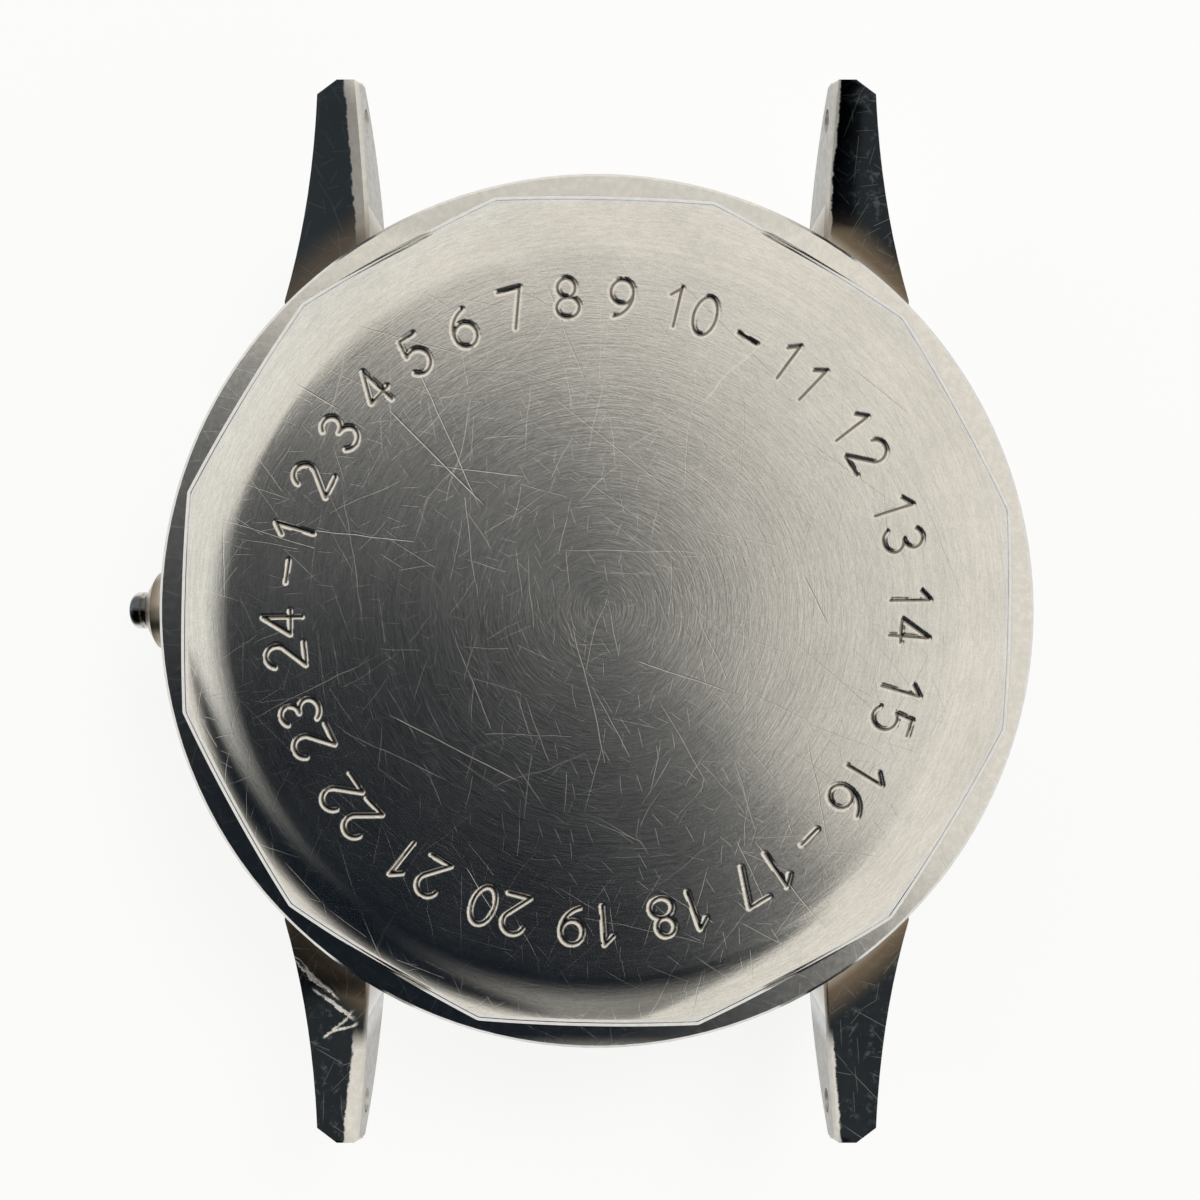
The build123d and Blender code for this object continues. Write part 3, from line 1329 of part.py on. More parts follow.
# Winding and setting: pinion, clutch, stem, setting lever and yoke
claw_depth = 0.15
claw_count = 6
winding_tooth_module = 2 * winding_pinion_radius / winding_teeth
with BuildPart() as winding_pinion:
    with BuildSketch(crown_plane.offset(pinion_start - pinion_length)):
        Circle(winding_pinion_radius - winding_tooth_module)
        Circle(stem_radius + run_gap, mode=Mode.SUBTRACT)
    extrude(amount=pinion_length)
    with BuildSketch(crown_plane.offset(pinion_start - pinion_length)):
        add(Face(Wire.make_polygon([Vector(*p) for p in tooth_points(winding_teeth,
                                                                    winding_tooth_module)])))
        Circle(stem_radius + run_gap, mode=Mode.SUBTRACT)
    extrude(amount=pinion_length / 2)
    with BuildSketch(crown_plane.offset(pinion_start - pinion_length)):
        for claw in range(claw_count // 2):
            Rectangle(2 * winding_pinion_radius, lever_width, rotation=claw * 360 / claw_count)
    extrude(amount=claw_depth, mode=Mode.SUBTRACT)
save(winding_pinion.part, "winding_pinion")

clutch_end = clutch_start - clutch_length
with BuildPart() as sliding_clutch:
    with BuildSketch(crown_plane.offset(clutch_end)):
        Circle(clutch_radius)
        Rectangle(stem_square + 2 * run_gap, stem_square + 2 * run_gap, mode=Mode.SUBTRACT)
    extrude(amount=clutch_length)
    with BuildSketch(crown_plane.offset(clutch_groove_place - clutch_groove_width / 2)):
        Circle(clutch_radius + overrun)
        Circle(clutch_groove_radius, mode=Mode.SUBTRACT)
    extrude(amount=clutch_groove_width, mode=Mode.SUBTRACT)
    for face_place in (clutch_start - claw_depth, clutch_end):
        with BuildSketch(crown_plane.offset(face_place)):
            for claw in range(claw_count // 2):
                Rectangle(2 * clutch_radius, lever_width, rotation=claw * 360 / claw_count)
        extrude(amount=claw_depth, mode=Mode.SUBTRACT)
save(sliding_clutch.part, "sliding_clutch")

with BuildPart() as winding_stem:
    with BuildSketch(crown_plane.offset(square_start)):
        Circle(stem_radius)
    extrude(amount=stem_end - square_start)
    with BuildSketch(crown_plane.offset(pilot_start + lever_shift / 2)):
        Rectangle(stem_square, stem_square)
    extrude(amount=square_start - pilot_start - lever_shift / 2)
    with BuildSketch(crown_plane.offset(pilot_end)):
        Circle(pilot_radius)
    extrude(amount=square_start - pilot_end)
    collar_start = stem_groove_place - stem_groove_width / 2
    collar_end = stem_groove_place + stem_groove_width / 2
    collar_width = 0.15
    with BuildSketch(crown_plane.offset(collar_start - collar_width)):
        Circle(collar_radius)
    extrude(amount=collar_end - collar_start + 2 * collar_width)
    with BuildSketch(crown_plane.offset(collar_start)):
        Circle(collar_radius + overrun)
        Circle(stem_neck_radius, mode=Mode.SUBTRACT)
    extrude(amount=stem_groove_width, mode=Mode.SUBTRACT)
    fillet(winding_stem.edges().filter_by(GeomType.CIRCLE).sort_by(Axis.X)[0], stem_radius / 2)
save(winding_stem.part, "winding_stem")

post_reach = stem_z - stem_neck_radius - run_gap
with BuildPart() as setting_lever:
    extrude(sketch_link(((lever_pivot, lever_hub_radius), (lever_rest, post_radius + run_gap)), lever_z),
            amount=lever_thickness)
    extrude(sketch_disc(lever_pivot, lever_z, stud_hole_radius), amount=plate_thickness / 2)
    extrude(sketch_disc(lever_rest, lever_z, post_radius), amount=post_reach - lever_z)
save(setting_lever.part, "setting_lever")

yoke_reach = stem_z - clutch_groove_radius - run_gap
with BuildPart() as yoke:
    extrude(sketch_link(((yoke_pivot, lever_hub_radius), (yoke_rest, yoke_post_radius + run_gap)),
                        lever_z), amount=lever_thickness)
    extrude(sketch_disc(yoke_pivot, lever_z, stud_hole_radius), amount=plate_thickness / 2)
    extrude(sketch_disc(yoke_rest, lever_z, yoke_post_radius), amount=yoke_reach - lever_z)
save(yoke.part, "yoke")
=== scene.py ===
"""Looks of a steel watch head seen from its screw back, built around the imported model."""
import math

import bpy
import numpy as np
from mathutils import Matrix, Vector


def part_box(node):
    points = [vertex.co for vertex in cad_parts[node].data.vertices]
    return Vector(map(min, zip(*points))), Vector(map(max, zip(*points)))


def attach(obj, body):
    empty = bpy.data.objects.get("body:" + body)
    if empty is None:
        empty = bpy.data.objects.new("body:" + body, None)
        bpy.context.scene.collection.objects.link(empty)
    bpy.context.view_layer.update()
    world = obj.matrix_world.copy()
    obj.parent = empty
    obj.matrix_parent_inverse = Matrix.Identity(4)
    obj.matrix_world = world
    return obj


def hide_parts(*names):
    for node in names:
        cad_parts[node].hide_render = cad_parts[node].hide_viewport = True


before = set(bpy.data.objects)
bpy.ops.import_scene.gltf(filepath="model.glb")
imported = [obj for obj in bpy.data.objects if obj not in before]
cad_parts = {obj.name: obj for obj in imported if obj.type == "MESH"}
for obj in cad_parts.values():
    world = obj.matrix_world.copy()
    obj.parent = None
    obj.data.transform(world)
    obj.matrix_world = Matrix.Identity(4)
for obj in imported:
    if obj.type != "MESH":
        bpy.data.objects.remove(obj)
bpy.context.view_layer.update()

bl_info = {
    "name": "Watch Head Looks",
    "version": (1, 0, 0),
    "blender": (4, 5, 0),
    "location": "3D View > Sidebar > Watch Head",
    "description": "Dresses a steel watch head with a brushed, numbered screw back",
    "category": "Object",
}

MM = 0.001
BACK_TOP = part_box("case_back")[1].z
DIAL_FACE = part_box("dial")[0].z


class WatchBackSizes(bpy.types.PropertyGroup):
    """Sizes of the screw back and of what is cut into it."""

    face_radius: bpy.props.FloatProperty(
        name="Flat face", description="Radius of the flat centre of the back",
        default=13.5 * MM, unit="LENGTH")
    corner_radius: bpy.props.FloatProperty(
        name="Corners", description="Radius of the circle round the twelve corners",
        default=16.2 * MM, unit="LENGTH")
    corner_drop: bpy.props.FloatProperty(
        name="Shoulder drop", description="How far the shoulder falls from the face to a corner",
        default=1.25 * MM, unit="LENGTH")
    sides: bpy.props.IntProperty(
        name="Sides", description="Flats round the back", default=12, min=3)
    turn: bpy.props.FloatProperty(
        name="Turn", description="Angle of one corner of the back from the 3 o'clock side",
        default=math.radians(13.8), subtype="ANGLE")
    chamfer: bpy.props.FloatProperty(
        name="Chamfer", description="Width of the polished chamfer along each flat",
        default=0.2 * MM, unit="LENGTH")
    digit_foot: bpy.props.FloatProperty(
        name="Number foot", description="Radius of the foot of the engraved numbers",
        default=10.85 * MM, unit="LENGTH")
    digit_height: bpy.props.FloatProperty(
        name="Number height", description="Height of the engraved numbers",
        default=1.45 * MM, unit="LENGTH")
    stroke: bpy.props.FloatProperty(
        name="Stroke", description="Width of the engraver's cut", default=0.19 * MM, unit="LENGTH")
    stroke_depth: bpy.props.FloatProperty(
        name="Stroke depth", description="Depth of the engraver's cut",
        default=0.06 * MM, unit="LENGTH")


class WatchColours(bpy.types.PropertyGroup):
    """Colours of the metals, the dial and the stage."""

    steel: bpy.props.FloatVectorProperty(
        name="Steel", description="Colour of the clean steel", size=3, subtype="COLOR",
        default=(0.78, 0.765, 0.73))
    # Also used for the painted shade in the engraved cuts of the back
    grime: bpy.props.FloatVectorProperty(
        name="Grime", description="Colour of the dirt in corners and cuts", size=3, subtype="COLOR",
        default=(0.09, 0.065, 0.045))
    brass: bpy.props.FloatVectorProperty(
        name="Brass", description="Colour of the wheels and rings", size=3, subtype="COLOR",
        default=(0.80, 0.62, 0.31))
    nickel: bpy.props.FloatVectorProperty(
        name="Plating", description="Colour of the plated bridges and plate", size=3,
        subtype="COLOR", default=(0.72, 0.69, 0.63))
    blue: bpy.props.FloatVectorProperty(
        name="Blued steel", description="Colour of hands and hairspring", size=3, subtype="COLOR",
        default=(0.04, 0.07, 0.26))
    dial: bpy.props.FloatVectorProperty(
        name="Dial", description="Colour of the dial's paint", size=3, subtype="COLOR",
        default=(0.80, 0.77, 0.68))
    floor: bpy.props.FloatVectorProperty(
        name="Floor", description="Colour of the table", size=3, subtype="COLOR",
        default=(0.90, 0.90, 0.89))


class Field:
    """A number or vector that varies over a surface, kept as a node socket for plain maths."""

    def __init__(self, paint, socket):
        self.paint = paint
        self.socket = socket

    def math(self, operation, *others):
        values = dict(enumerate((self,) + others))
        node = self.paint.node("ShaderNodeMath", {"operation": operation}, values)
        return Field(self.paint, node.outputs[0])

    def __add__(self, other):
        return self.math("ADD", other)

    __radd__ = __add__

    def __sub__(self, other):
        return self.math("SUBTRACT", other)

    def __rsub__(self, other):
        node = self.paint.node("ShaderNodeMath", {"operation": "SUBTRACT"}, {0: other, 1: self})
        return Field(self.paint, node.outputs[0])

    def __mul__(self, other):
        return self.math("MULTIPLY", other)

    __rmul__ = __mul__

    def __truediv__(self, other):
        return self.math("DIVIDE", other)

    def __pow__(self, other):
        return self.math("POWER", other)

    def __abs__(self):
        return self.math("ABSOLUTE")

    def __lt__(self, other):
        return self.math("LESS_THAN", other)

    def __gt__(self, other):
        return self.math("GREATER_THAN", other)

    def smooth(self, low, high):
        """0 below low, 1 above high, with a soft step between them."""
        node = self.paint.node(
            "ShaderNodeMapRange", {"interpolation_type": "SMOOTHSTEP"}, {0: self, 1: low, 2: high})
        return Field(self.paint, node.outputs[0])

    def clamped(self):
        return self.math("MINIMUM", 1).math("MAXIMUM", 0)


class Paint:
    """A material's node tree, with one way to add any node."""

    def __init__(self, tree):
        self.tree = tree
        self.tree.nodes.clear()

    def node(self, kind, settings=None, values=None):
        node = self.tree.nodes.new(kind)
        for name, value in (settings or {}).items():
            setattr(node, name, value)
        for name, value in (values or {}).items():
            socket = node.inputs[name]
            if isinstance(value, Field):
                self.tree.links.new(value.socket, socket)
            elif isinstance(value, bpy.types.NodeSocket):
                self.tree.links.new(value, socket)
            elif hasattr(socket.default_value, "__len__") and hasattr(value, "__len__"):
                size = len(socket.default_value)
                socket.default_value = (tuple(value) + (1.0,))[:size]
            else:
                socket.default_value = value
        return node

    def field(self, node, output=0):
        return Field(self, node.outputs[output])

    def place(self):
        """Where a point is on the piece, in millimetres."""
        source = self.node("ShaderNodeTexCoord")
        scaled = self.node("ShaderNodeVectorMath", {"operation": "SCALE"},
                           {0: source.outputs["Object"], "Scale": 1 / MM})
        return self.field(scaled)

    def split(self, vector):
        node = self.node("ShaderNodeSeparateXYZ", None, {0: vector})
        return self.field(node, 0), self.field(node, 1), self.field(node, 2)

    def join(self, x=0.0, y=0.0, z=0.0):
        return self.field(self.node("ShaderNodeCombineXYZ", None, {0: x, 1: y, 2: z}))

    def noise(self, vector, scale, detail, roughness):
        node = self.node("ShaderNodeTexNoise", None,
                         {"Vector": vector, "Scale": scale, "Detail": detail, "Roughness": roughness})
        return self.field(node, "Fac")

    def mix_colour(self, share, first, second):
        node = self.node("ShaderNodeMix", {"data_type": "RGBA"}, {0: share, 6: first, 7: second})
        return self.field(node, 2)

    def bump(self, height, strength=1.0, distance=0.01 * MM):
        node = self.node("ShaderNodeBump", None,
                         {"Strength": strength, "Distance": distance, "Height": height})
        return node.outputs["Normal"]

    def finish(self, **sockets):
        shader = self.node("ShaderNodeBsdfPrincipled", None,
                           {name.replace("_", " "): value for name, value in sockets.items()})
        output = self.node("ShaderNodeOutputMaterial")
        self.tree.links.new(shader.outputs[0], output.inputs[0])

    def stray_scratches(self, vector, cell, length, width, share, seed=0.0):
        """Straight scratches, one in a share of the cells, each lying its own way."""
        shifted = self.node("ShaderNodeVectorMath", {"operation": "ADD"},
                            {0: vector, 1: (seed, seed * 0.7, 0.0)})
        cells = self.node("ShaderNodeTexVoronoi", {"voronoi_dimensions": "2D"},
                          {"Vector": shifted.outputs[0], "Scale": 1 / cell})
        away = self.node("ShaderNodeVectorMath", {"operation": "SUBTRACT"},
                         {0: shifted.outputs[0], 1: cells.outputs["Position"]})
        across, along, _ = self.split(self.field(away))
        lot, other_lot, _ = self.split(Field(self, cells.outputs["Color"]))
        angle = lot * math.pi
        cosine, sine = angle.math("COSINE"), angle.math("SINE")
        run = abs(across * cosine + along * sine)
        side = abs(along * cosine - across * sine)
        line = (1 - side.smooth(width * 0.3, width)) * (1 - run.smooth(length * 0.3, length))
        return line * (other_lot < share)

    def one_scratch(self, x, y, start, end, width):
        """One long scratch between two places, thin at its ends."""
        dx, dy = end[0] - start[0], end[1] - start[1]
        length = math.hypot(dx, dy)
        run = ((x - start[0]) * (dx / length) + (y - start[1]) * (dy / length)) / length
        side = abs((y - start[1]) * (dx / length) - (x - start[0]) * (dy / length))
        ends = run.smooth(0.0, 0.15) * (1 - run.smooth(0.8, 1.0))
        return (1 - side.smooth(width * 0.2, width)) * ends

    def scratch_lines(self, x, y, places):
        """Several long scratches, each from one place to another with its width."""
        lines = self.one_scratch(x, y, *places[0])
        for start, end, width in places[1:]:
            lines = lines.math("MAXIMUM", self.one_scratch(x, y, start, end, width))
        return lines


def new_paint(name):
    """The empty node tree of a material with this name."""
    material = bpy.data.materials.get(name) or bpy.data.materials.new(name)
    material.use_nodes = True
    return Paint(material.node_tree)


# Long scratches of the back: from one place to another and how wide, in millimetres
LONG_SCRATCHES = (
    ((-7.8, 7.6), (-3.9, 3.7), 0.0375),
    ((-6.7, 9.2), (-4.2, 3.6), 0.03),
    ((-13.8, 3.5), (-13.7, 0.3), 0.0375),
    ((-6.2, 5.4), (-2.6, 5.0), 0.0225),
    ((3.9, 7.6), (6.6, 10.6), 0.03),
    ((-2.0, 12.6), (-0.4, 8.4), 0.0225),
    ((7.6, 1.4), (8.6, -0.6), 0.03),
    ((-12.6, 9.3), (-9.4, 7.4), 0.03),
    ((-4.9, -9.3), (-3.6, -11.4), 0.0225),
    ((5.8, -8.4), (9.0, -12.4), 0.0225),
    ((-8.0, -3.6), (-2.4, -6.5), 0.0225),
    ((1.4, -1.8), (5.0, -3.0), 0.0225),
    ((-10.8, 3.0), (-6.5, 2.6), 0.0225),
    ((9.4, 9.0), (12.6, 6.4), 0.0225),
)

# Cuts near the root of one lug, in the same way
GOUGES = (
    ((-12.4, -13.6), (-10.6, -15.1), 0.05),
    ((-12.1, -13.7), (-10.9, -14.7), 0.04),
    ((-11.7, -14.1), (-10.1, -15.4), 0.06),
    ((-11.3, -14.9), (-9.4, -16.1), 0.08),
    ((-10.9, -15.1), (-9.6, -15.9), 0.05),
    ((-10.7, -16.7), (-9.5, -15.7), 0.07),
    ((-10.6, -16.5), (-9.3, -16.2), 0.08),
)

# Places that the wear follows, in millimetres
BRUSHING_CENTRE = (0.2, 0.05)
NUMBERS_END = 13.0
BACK_FOOT = 8.05
BAND_RADIUS = 16.95
LUG_INNER_FACE = 9.03
LUG_WEAR_EDGE = 9.5

BRIGHT_SCRATCH = (0.80, 0.78, 0.74)


def shades(colour, share):
    """The same colour, lighter or darker by a share."""
    return tuple(c * share for c in colour)


def bullseye_steel(colours):
    """Steel brushed in circles, with stray scratches, painted shade in the engraved cuts and dirt at the
    foot of the rim.
    """
    paint = new_paint("bullseye_steel")
    x, y, z = paint.split(paint.place())
    off_x, off_y = x - BRUSHING_CENTRE[0], y - BRUSHING_CENTRE[1]
    radius = (off_x ** 2 + off_y ** 2).math("SQRT")
    east, north = off_x / (radius + 0.01), off_y / (radius + 0.01)
    rings = paint.noise(paint.join(radius * 6.5, east * 0.7, north * 0.7), 1.0, 2.0, 0.6)
    lines = paint.noise(paint.join(radius * 13.0, x * 1.2, y * 1.2), 1.0, 3.0, 0.7)
    hairs = paint.noise(paint.join(radius * 22.0, x * 3.0, y * 3.0), 1.0, 2.0, 0.6)
    grain = paint.noise(paint.join(x, y, z), 11.0, 3.0, 0.7)
    brushing = rings * 0.2 + lines * 0.4 + hairs * 0.4

    # Scratches over the brushing, a little bent
    sway = paint.noise(paint.join(x, y, 0.0), 0.35, 2.0, 0.5) - 0.5
    bent_x, bent_y = x + sway * 0.5, y - sway * 0.4
    flat = paint.join(bent_x, bent_y, 0.0)
    short = paint.stray_scratches(flat, cell=0.62, length=0.55, width=0.017, share=0.85)
    middle = paint.stray_scratches(flat, cell=1.7, length=1.5, width=0.018, share=0.9, seed=3.7)
    crossing = paint.stray_scratches(flat, cell=2.6, length=2.4, width=0.019, share=0.9, seed=21.9)
    long_hairs = paint.stray_scratches(flat, cell=4.3, length=4.0, width=0.022, share=0.9, seed=11.3)
    hairlines = (short * 0.5 + middle * 0.7 + long_hairs + crossing * 0.7).clamped()
    long_lines = paint.scratch_lines(bent_x, bent_y, LONG_SCRATCHES)

    # How far a point is on the face, in an engraved cut or at the foot of the rim
    top = BACK_TOP / MM
    face = z.smooth(top - 0.5, top - 0.05)
    in_ring = 1 - radius.smooth(NUMBERS_END, NUMBERS_END + 0.2)
    # Inside the engraved cuts, which get painted shade
    cut = (1 - z.smooth(top - 0.055, top - 0.02)) * in_ring
    rim_dirt = (1 - z.smooth(BACK_FOOT, BACK_FOOT + 0.45)) * 0.7

    patches = paint.noise(flat, 0.22, 4.0, 0.65)
    mottle = (brushing.smooth(0.38, 0.62) * 0.5 + grain.smooth(0.35, 0.65) * 0.25
              + patches.smooth(0.35, 0.65) * 0.25)
    tone = paint.mix_colour(mottle.clamped(), shades(colours.steel, 0.70), colours.steel)
    tone = paint.mix_colour(hairlines * 0.15, tone, (0.86, 0.84, 0.80))
    tone = paint.mix_colour(long_lines * 0.25, tone, BRIGHT_SCRATCH)
    # Painted shade in the engraved cuts and dirt at the foot of the rim, both in the grime colour
    tone = paint.mix_colour((cut * 0.8 + rim_dirt).clamped(), tone, colours.grime)
    roughness = (0.08 + face * 0.04 + brushing * face * 0.06 + hairlines * 0.05 + patches * 0.04)
    grooves = ((rings - 0.5) * 0.0016 + (lines - 0.5) * 0.0024 + (hairs - 0.5) * 0.0018
               + (grain - 0.5) * 0.0012)
    height = grooves * (face * 0.75 + 0.25) - hairlines * 0.0017 - long_lines * 0.0035
    paint.finish(Base_Color=tone, Metallic=1.0, Roughness=roughness, Anisotropic=0.6,
                 Anisotropic_Rotation=0.25, Normal=paint.bump(height, 1.0, MM))


def lug_marks(paint, place, specks, clouds):
    """The lugs' back faces, which get a painted dark reflection, their worn inner edges, their inner
    faces, which get painted shade, the cuts in one of them and the upper-left lug's paler painted
    reflection.
    """
    x, y, _ = paint.split(place)
    radius = (x ** 2 + y ** 2).math("SQRT")
    facing = paint.node("ShaderNodeTexCoord")
    _, _, up = paint.split(facing.outputs["Normal"])
    # Back faces beyond the band, which get a painted dark reflection
    back = up.smooth(0.5, 0.75) * radius.smooth(BAND_RADIUS + 0.15, BAND_RADIUS + 0.75)
    on_right, on_top = x.smooth(-1, 1), y.smooth(-1, 1)
    wander = paint.noise(paint.join(y * 0.5, on_right * 7, 3.0), 1.0, 2.0, 0.5)
    ragged = (specks - 0.5) * 0.3 + (wander - 0.5) * 0.3 + on_right * 0.3
    worn = 1 - (abs(x) + ragged).smooth(LUG_WEAR_EDGE, LUG_WEAR_EDGE + 0.08)
    worn = worn * (abs(y) + on_top * 2).smooth(16.3, 17.2)
    # The lugs' inner faces, which get painted shade
    inner = (abs(x) > LUG_INNER_FACE - 0.23) * (1 - abs(x).smooth(LUG_INNER_FACE, LUG_INNER_FACE + 0.09))
    inner = inner * (abs(y) > 16) * (1 - up.smooth(0.2, 0.5))
    gouge = paint.scratch_lines(x + (specks - 0.5) * 0.5, y + (clouds - 0.5) * 0.5, GOUGES)
    # The upper-left lug's back face, where the painted reflection is paler
    upper_left_paler_reflection = (x < 0) * (y > 0) * back * (1 - worn) * 0.5
    return back, worn, inner, gouge, upper_left_paler_reflection


def worn_steel(colours, name, roughness, scratch, dirt, painted_reflection_tone=None):
    """Polished steel with fine scratches and dirt near the band. With a tone for the painted reflection
    it paints a dark reflection on the back faces, painted shade on the lugs' inner faces, and marks the
    lugs.
    """
    paint = new_paint(name)
    place = paint.place()
    x, y, z = paint.split(place)
    radius = (x ** 2 + y ** 2).math("SQRT")
    flat = paint.join(x + z * 0.4, y + z * 0.3, 0.0)
    short = paint.stray_scratches(flat, cell=0.7, length=0.6, width=0.014, share=0.8, seed=1.9)
    middle = paint.stray_scratches(flat, cell=1.6, length=1.5, width=0.015, share=0.85, seed=5.1)
    scratches = (short * 0.6 + middle * 0.8).clamped()
    specks = paint.noise(place, 3.4, 5.0, 0.7)
    clouds = paint.noise(place, 0.7, 4.0, 0.6)

    # Lathe lines and rust at the foot of the lugs
    turned = paint.noise(paint.join(radius * 12.0, z * 6.0, 0.0), 1.0, 3.0, 0.7)
    foot = radius.smooth(BAND_RADIUS, BAND_RADIUS + 0.15)
    foot = foot * (1 - radius.smooth(BAND_RADIUS + 0.55, BAND_RADIUS + 1.75)) * (turned * 0.5 + 0.5)
    rust = paint.noise(place, 1.1, 6.0, 0.75).smooth(0.66, 0.8)
    rust = rust * (1 - abs(radius - (BAND_RADIUS + 0.65)).smooth(0.3, 1.6))

    steel = tuple(colours.steel)
    tone = paint.mix_colour(specks.smooth(0.35, 0.75), shades(steel, 0.85), steel)
    rough = roughness + specks * 0.06 + foot * 0.2 * dirt
    metallic = 1.0 - rust * dirt * 0.8
    if painted_reflection_tone is not None:
        back, worn, inner, gouge, upper_left_paler_reflection = lug_marks(paint, place, specks, clouds)
        # Painted shade: darker grey over the lugs' inner faces
        inner_shade_grey = paint.mix_colour(specks.smooth(0.3, 0.7), (0.25, 0.25, 0.24), (0.44, 0.44, 0.42))
        tone = paint.mix_colour(inner * 0.8, tone, inner_shade_grey)
        # Painted reflection: dark navy on the back faces where they are not worn
        painted_reflection_area = back * (1 - worn)
        tone = paint.mix_colour(painted_reflection_area * (0.98 + clouds * 0.02), tone, painted_reflection_tone)
        dust = specks.smooth(0.52, 0.66) * clouds.smooth(0.4, 0.6) * painted_reflection_area
        tone = paint.mix_colour(dust * 0.16, tone, (0.30, 0.33, 0.36))
        tone = paint.mix_colour(scratches * back * 0.16, tone, (0.48, 0.50, 0.50))
        # A paler, bluish grey painted reflection on the upper-left lug
        tone = paint.mix_colour(upper_left_paler_reflection, tone, (0.10, 0.125, 0.15))
        tone = paint.mix_colour(gouge * (1 - worn) * specks.smooth(0.3, 0.55), tone, steel)
        scratches = (scratches * (1 - worn * 0.6)).math("MAXIMUM", gouge)
        rough = rough + worn * 0.25
        metallic = metallic - worn * 0.4 - upper_left_paler_reflection
    tone = paint.mix_colour(scratches * scratch * 0.4, tone, BRIGHT_SCRATCH)
    tone = paint.mix_colour((foot * dirt).clamped(), tone, (0.24, 0.18, 0.12))
    tone = paint.mix_colour((rust * dirt).clamped(), tone, (0.21, 0.075, 0.03))
    height = ((specks - 0.5) * 0.0006 + (clouds - 0.5) * 0.004 + turned * foot * 0.001
              - scratches * scratch * 0.003)
    paint.finish(Base_Color=tone, Metallic=metallic, Roughness=rough + scratches * 0.12,
                 Normal=paint.bump(height, 1.0, MM))


def turned_metal(name, colour):
    """Metal turned on a lathe about the head's own axis."""
    paint = new_paint(name)
    x, y, z = paint.split(paint.place())
    radius = (x ** 2 + y ** 2).math("SQRT")
    lines = paint.noise(paint.join(radius * 6.0, z * 6.0, 0.0), 1.0, 3.0, 0.6)
    spots = paint.noise(paint.join(x, y, z), 1.4, 4.0, 0.6)
    tone = paint.mix_colour(lines, shades(colour, 0.8), colour)
    tone = paint.mix_colour(spots.smooth(0.6, 0.8) * 0.5, tone, shades(colour, 0.45))
    paint.finish(Base_Color=tone, Metallic=1.0, Roughness=0.25 + lines * 0.12,
                 Normal=paint.bump(lines, 0.4))


def striped_plating(colours):
    """Plated brass with broad ribs and fine lines across them."""
    paint = new_paint("striped_plating")
    x, y, z = paint.split(paint.place())
    across = (x * 0.8 + y * 0.6) / 1.1
    rib = (across - across.math("FLOOR") - 0.5) * 2
    lines = paint.noise(paint.join(across * 26, (y * 0.8 - x * 0.6) * 0.7, z), 1.0, 3.0, 0.6)
    stain = paint.noise(paint.join(x, y, z), 0.8, 5.0, 0.6).smooth(0.55, 0.8)
    tone = paint.mix_colour(lines, shades(colours.nickel, 0.82), colours.nickel)
    tone = paint.mix_colour(stain * 0.35, tone, (0.50, 0.40, 0.24))
    paint.finish(Base_Color=tone, Metallic=1.0, Roughness=0.2 + abs(rib) * 0.12 + lines * 0.08,
                 Normal=paint.bump(rib ** 2 * 2 + lines * 0.4, 0.5, 0.02 * MM))


def spotted_plating(colours):
    """Plated brass with overlapping round spots, as on a main plate."""
    paint = new_paint("spotted_plating")
    place = paint.place()
    spot = paint.node("ShaderNodeTexVoronoi", {"voronoi_dimensions": "2D"},
                      {"Vector": place, "Scale": 1.3, "Randomness": 0.15})
    swirl = (paint.field(spot, "Distance") * 42).math("SINE") * 0.5 + 0.5
    stain = paint.noise(place, 0.7, 5.0, 0.6)
    tone = paint.mix_colour(swirl * 0.5, colours.nickel, shades(colours.nickel, 0.8))
    tone = paint.mix_colour(stain.smooth(0.55, 0.8) * 0.4, tone, (0.46, 0.37, 0.22))
    paint.finish(Base_Color=tone, Metallic=1.0, Roughness=0.22 + swirl * 0.12,
                 Normal=paint.bump(swirl, 0.5))


def ground_steel(colours):
    """Flat steel parts ground along one direction, with polished sides."""
    paint = new_paint("ground_steel")
    x, y, z = paint.split(paint.place())
    grain = paint.noise(paint.join((x + y) * 18, (x - y) * 1.2, z * 6), 1.0, 3.0, 0.6)
    tone = paint.mix_colour(grain, shades(colours.steel, 0.75), colours.steel)
    paint.finish(Base_Color=tone, Metallic=1.0, Roughness=0.18 + grain * 0.16,
                 Normal=paint.bump(grain, 0.4, 0.008 * MM))


def blued_steel(colours):
    """Steel heated to blue, a little purple where it was hottest."""
    paint = new_paint("blued_steel")
    place = paint.place()
    heat = paint.noise(place, 0.5, 3.0, 0.6)
    tone = paint.mix_colour(heat.smooth(0.4, 0.7), colours.blue, (0.11, 0.04, 0.22))
    grain = paint.noise(place, 14.0, 2.0, 0.5)
    paint.finish(Base_Color=tone, Metallic=1.0, Roughness=0.16 + grain * 0.1,
                 Normal=paint.bump(grain, 0.2, 0.006 * MM))


def jewel_ruby():
    paint = new_paint("jewel_ruby")
    cloud = paint.noise(paint.place(), 2.2, 3.0, 0.5)
    tone = paint.mix_colour(cloud, (0.62, 0.01, 0.07), (0.80, 0.05, 0.16))
    paint.finish(Base_Color=tone, Roughness=0.04 + cloud * 0.04, IOR=1.76,
                 Transmission_Weight=0.35, Specular_IOR_Level=0.6)


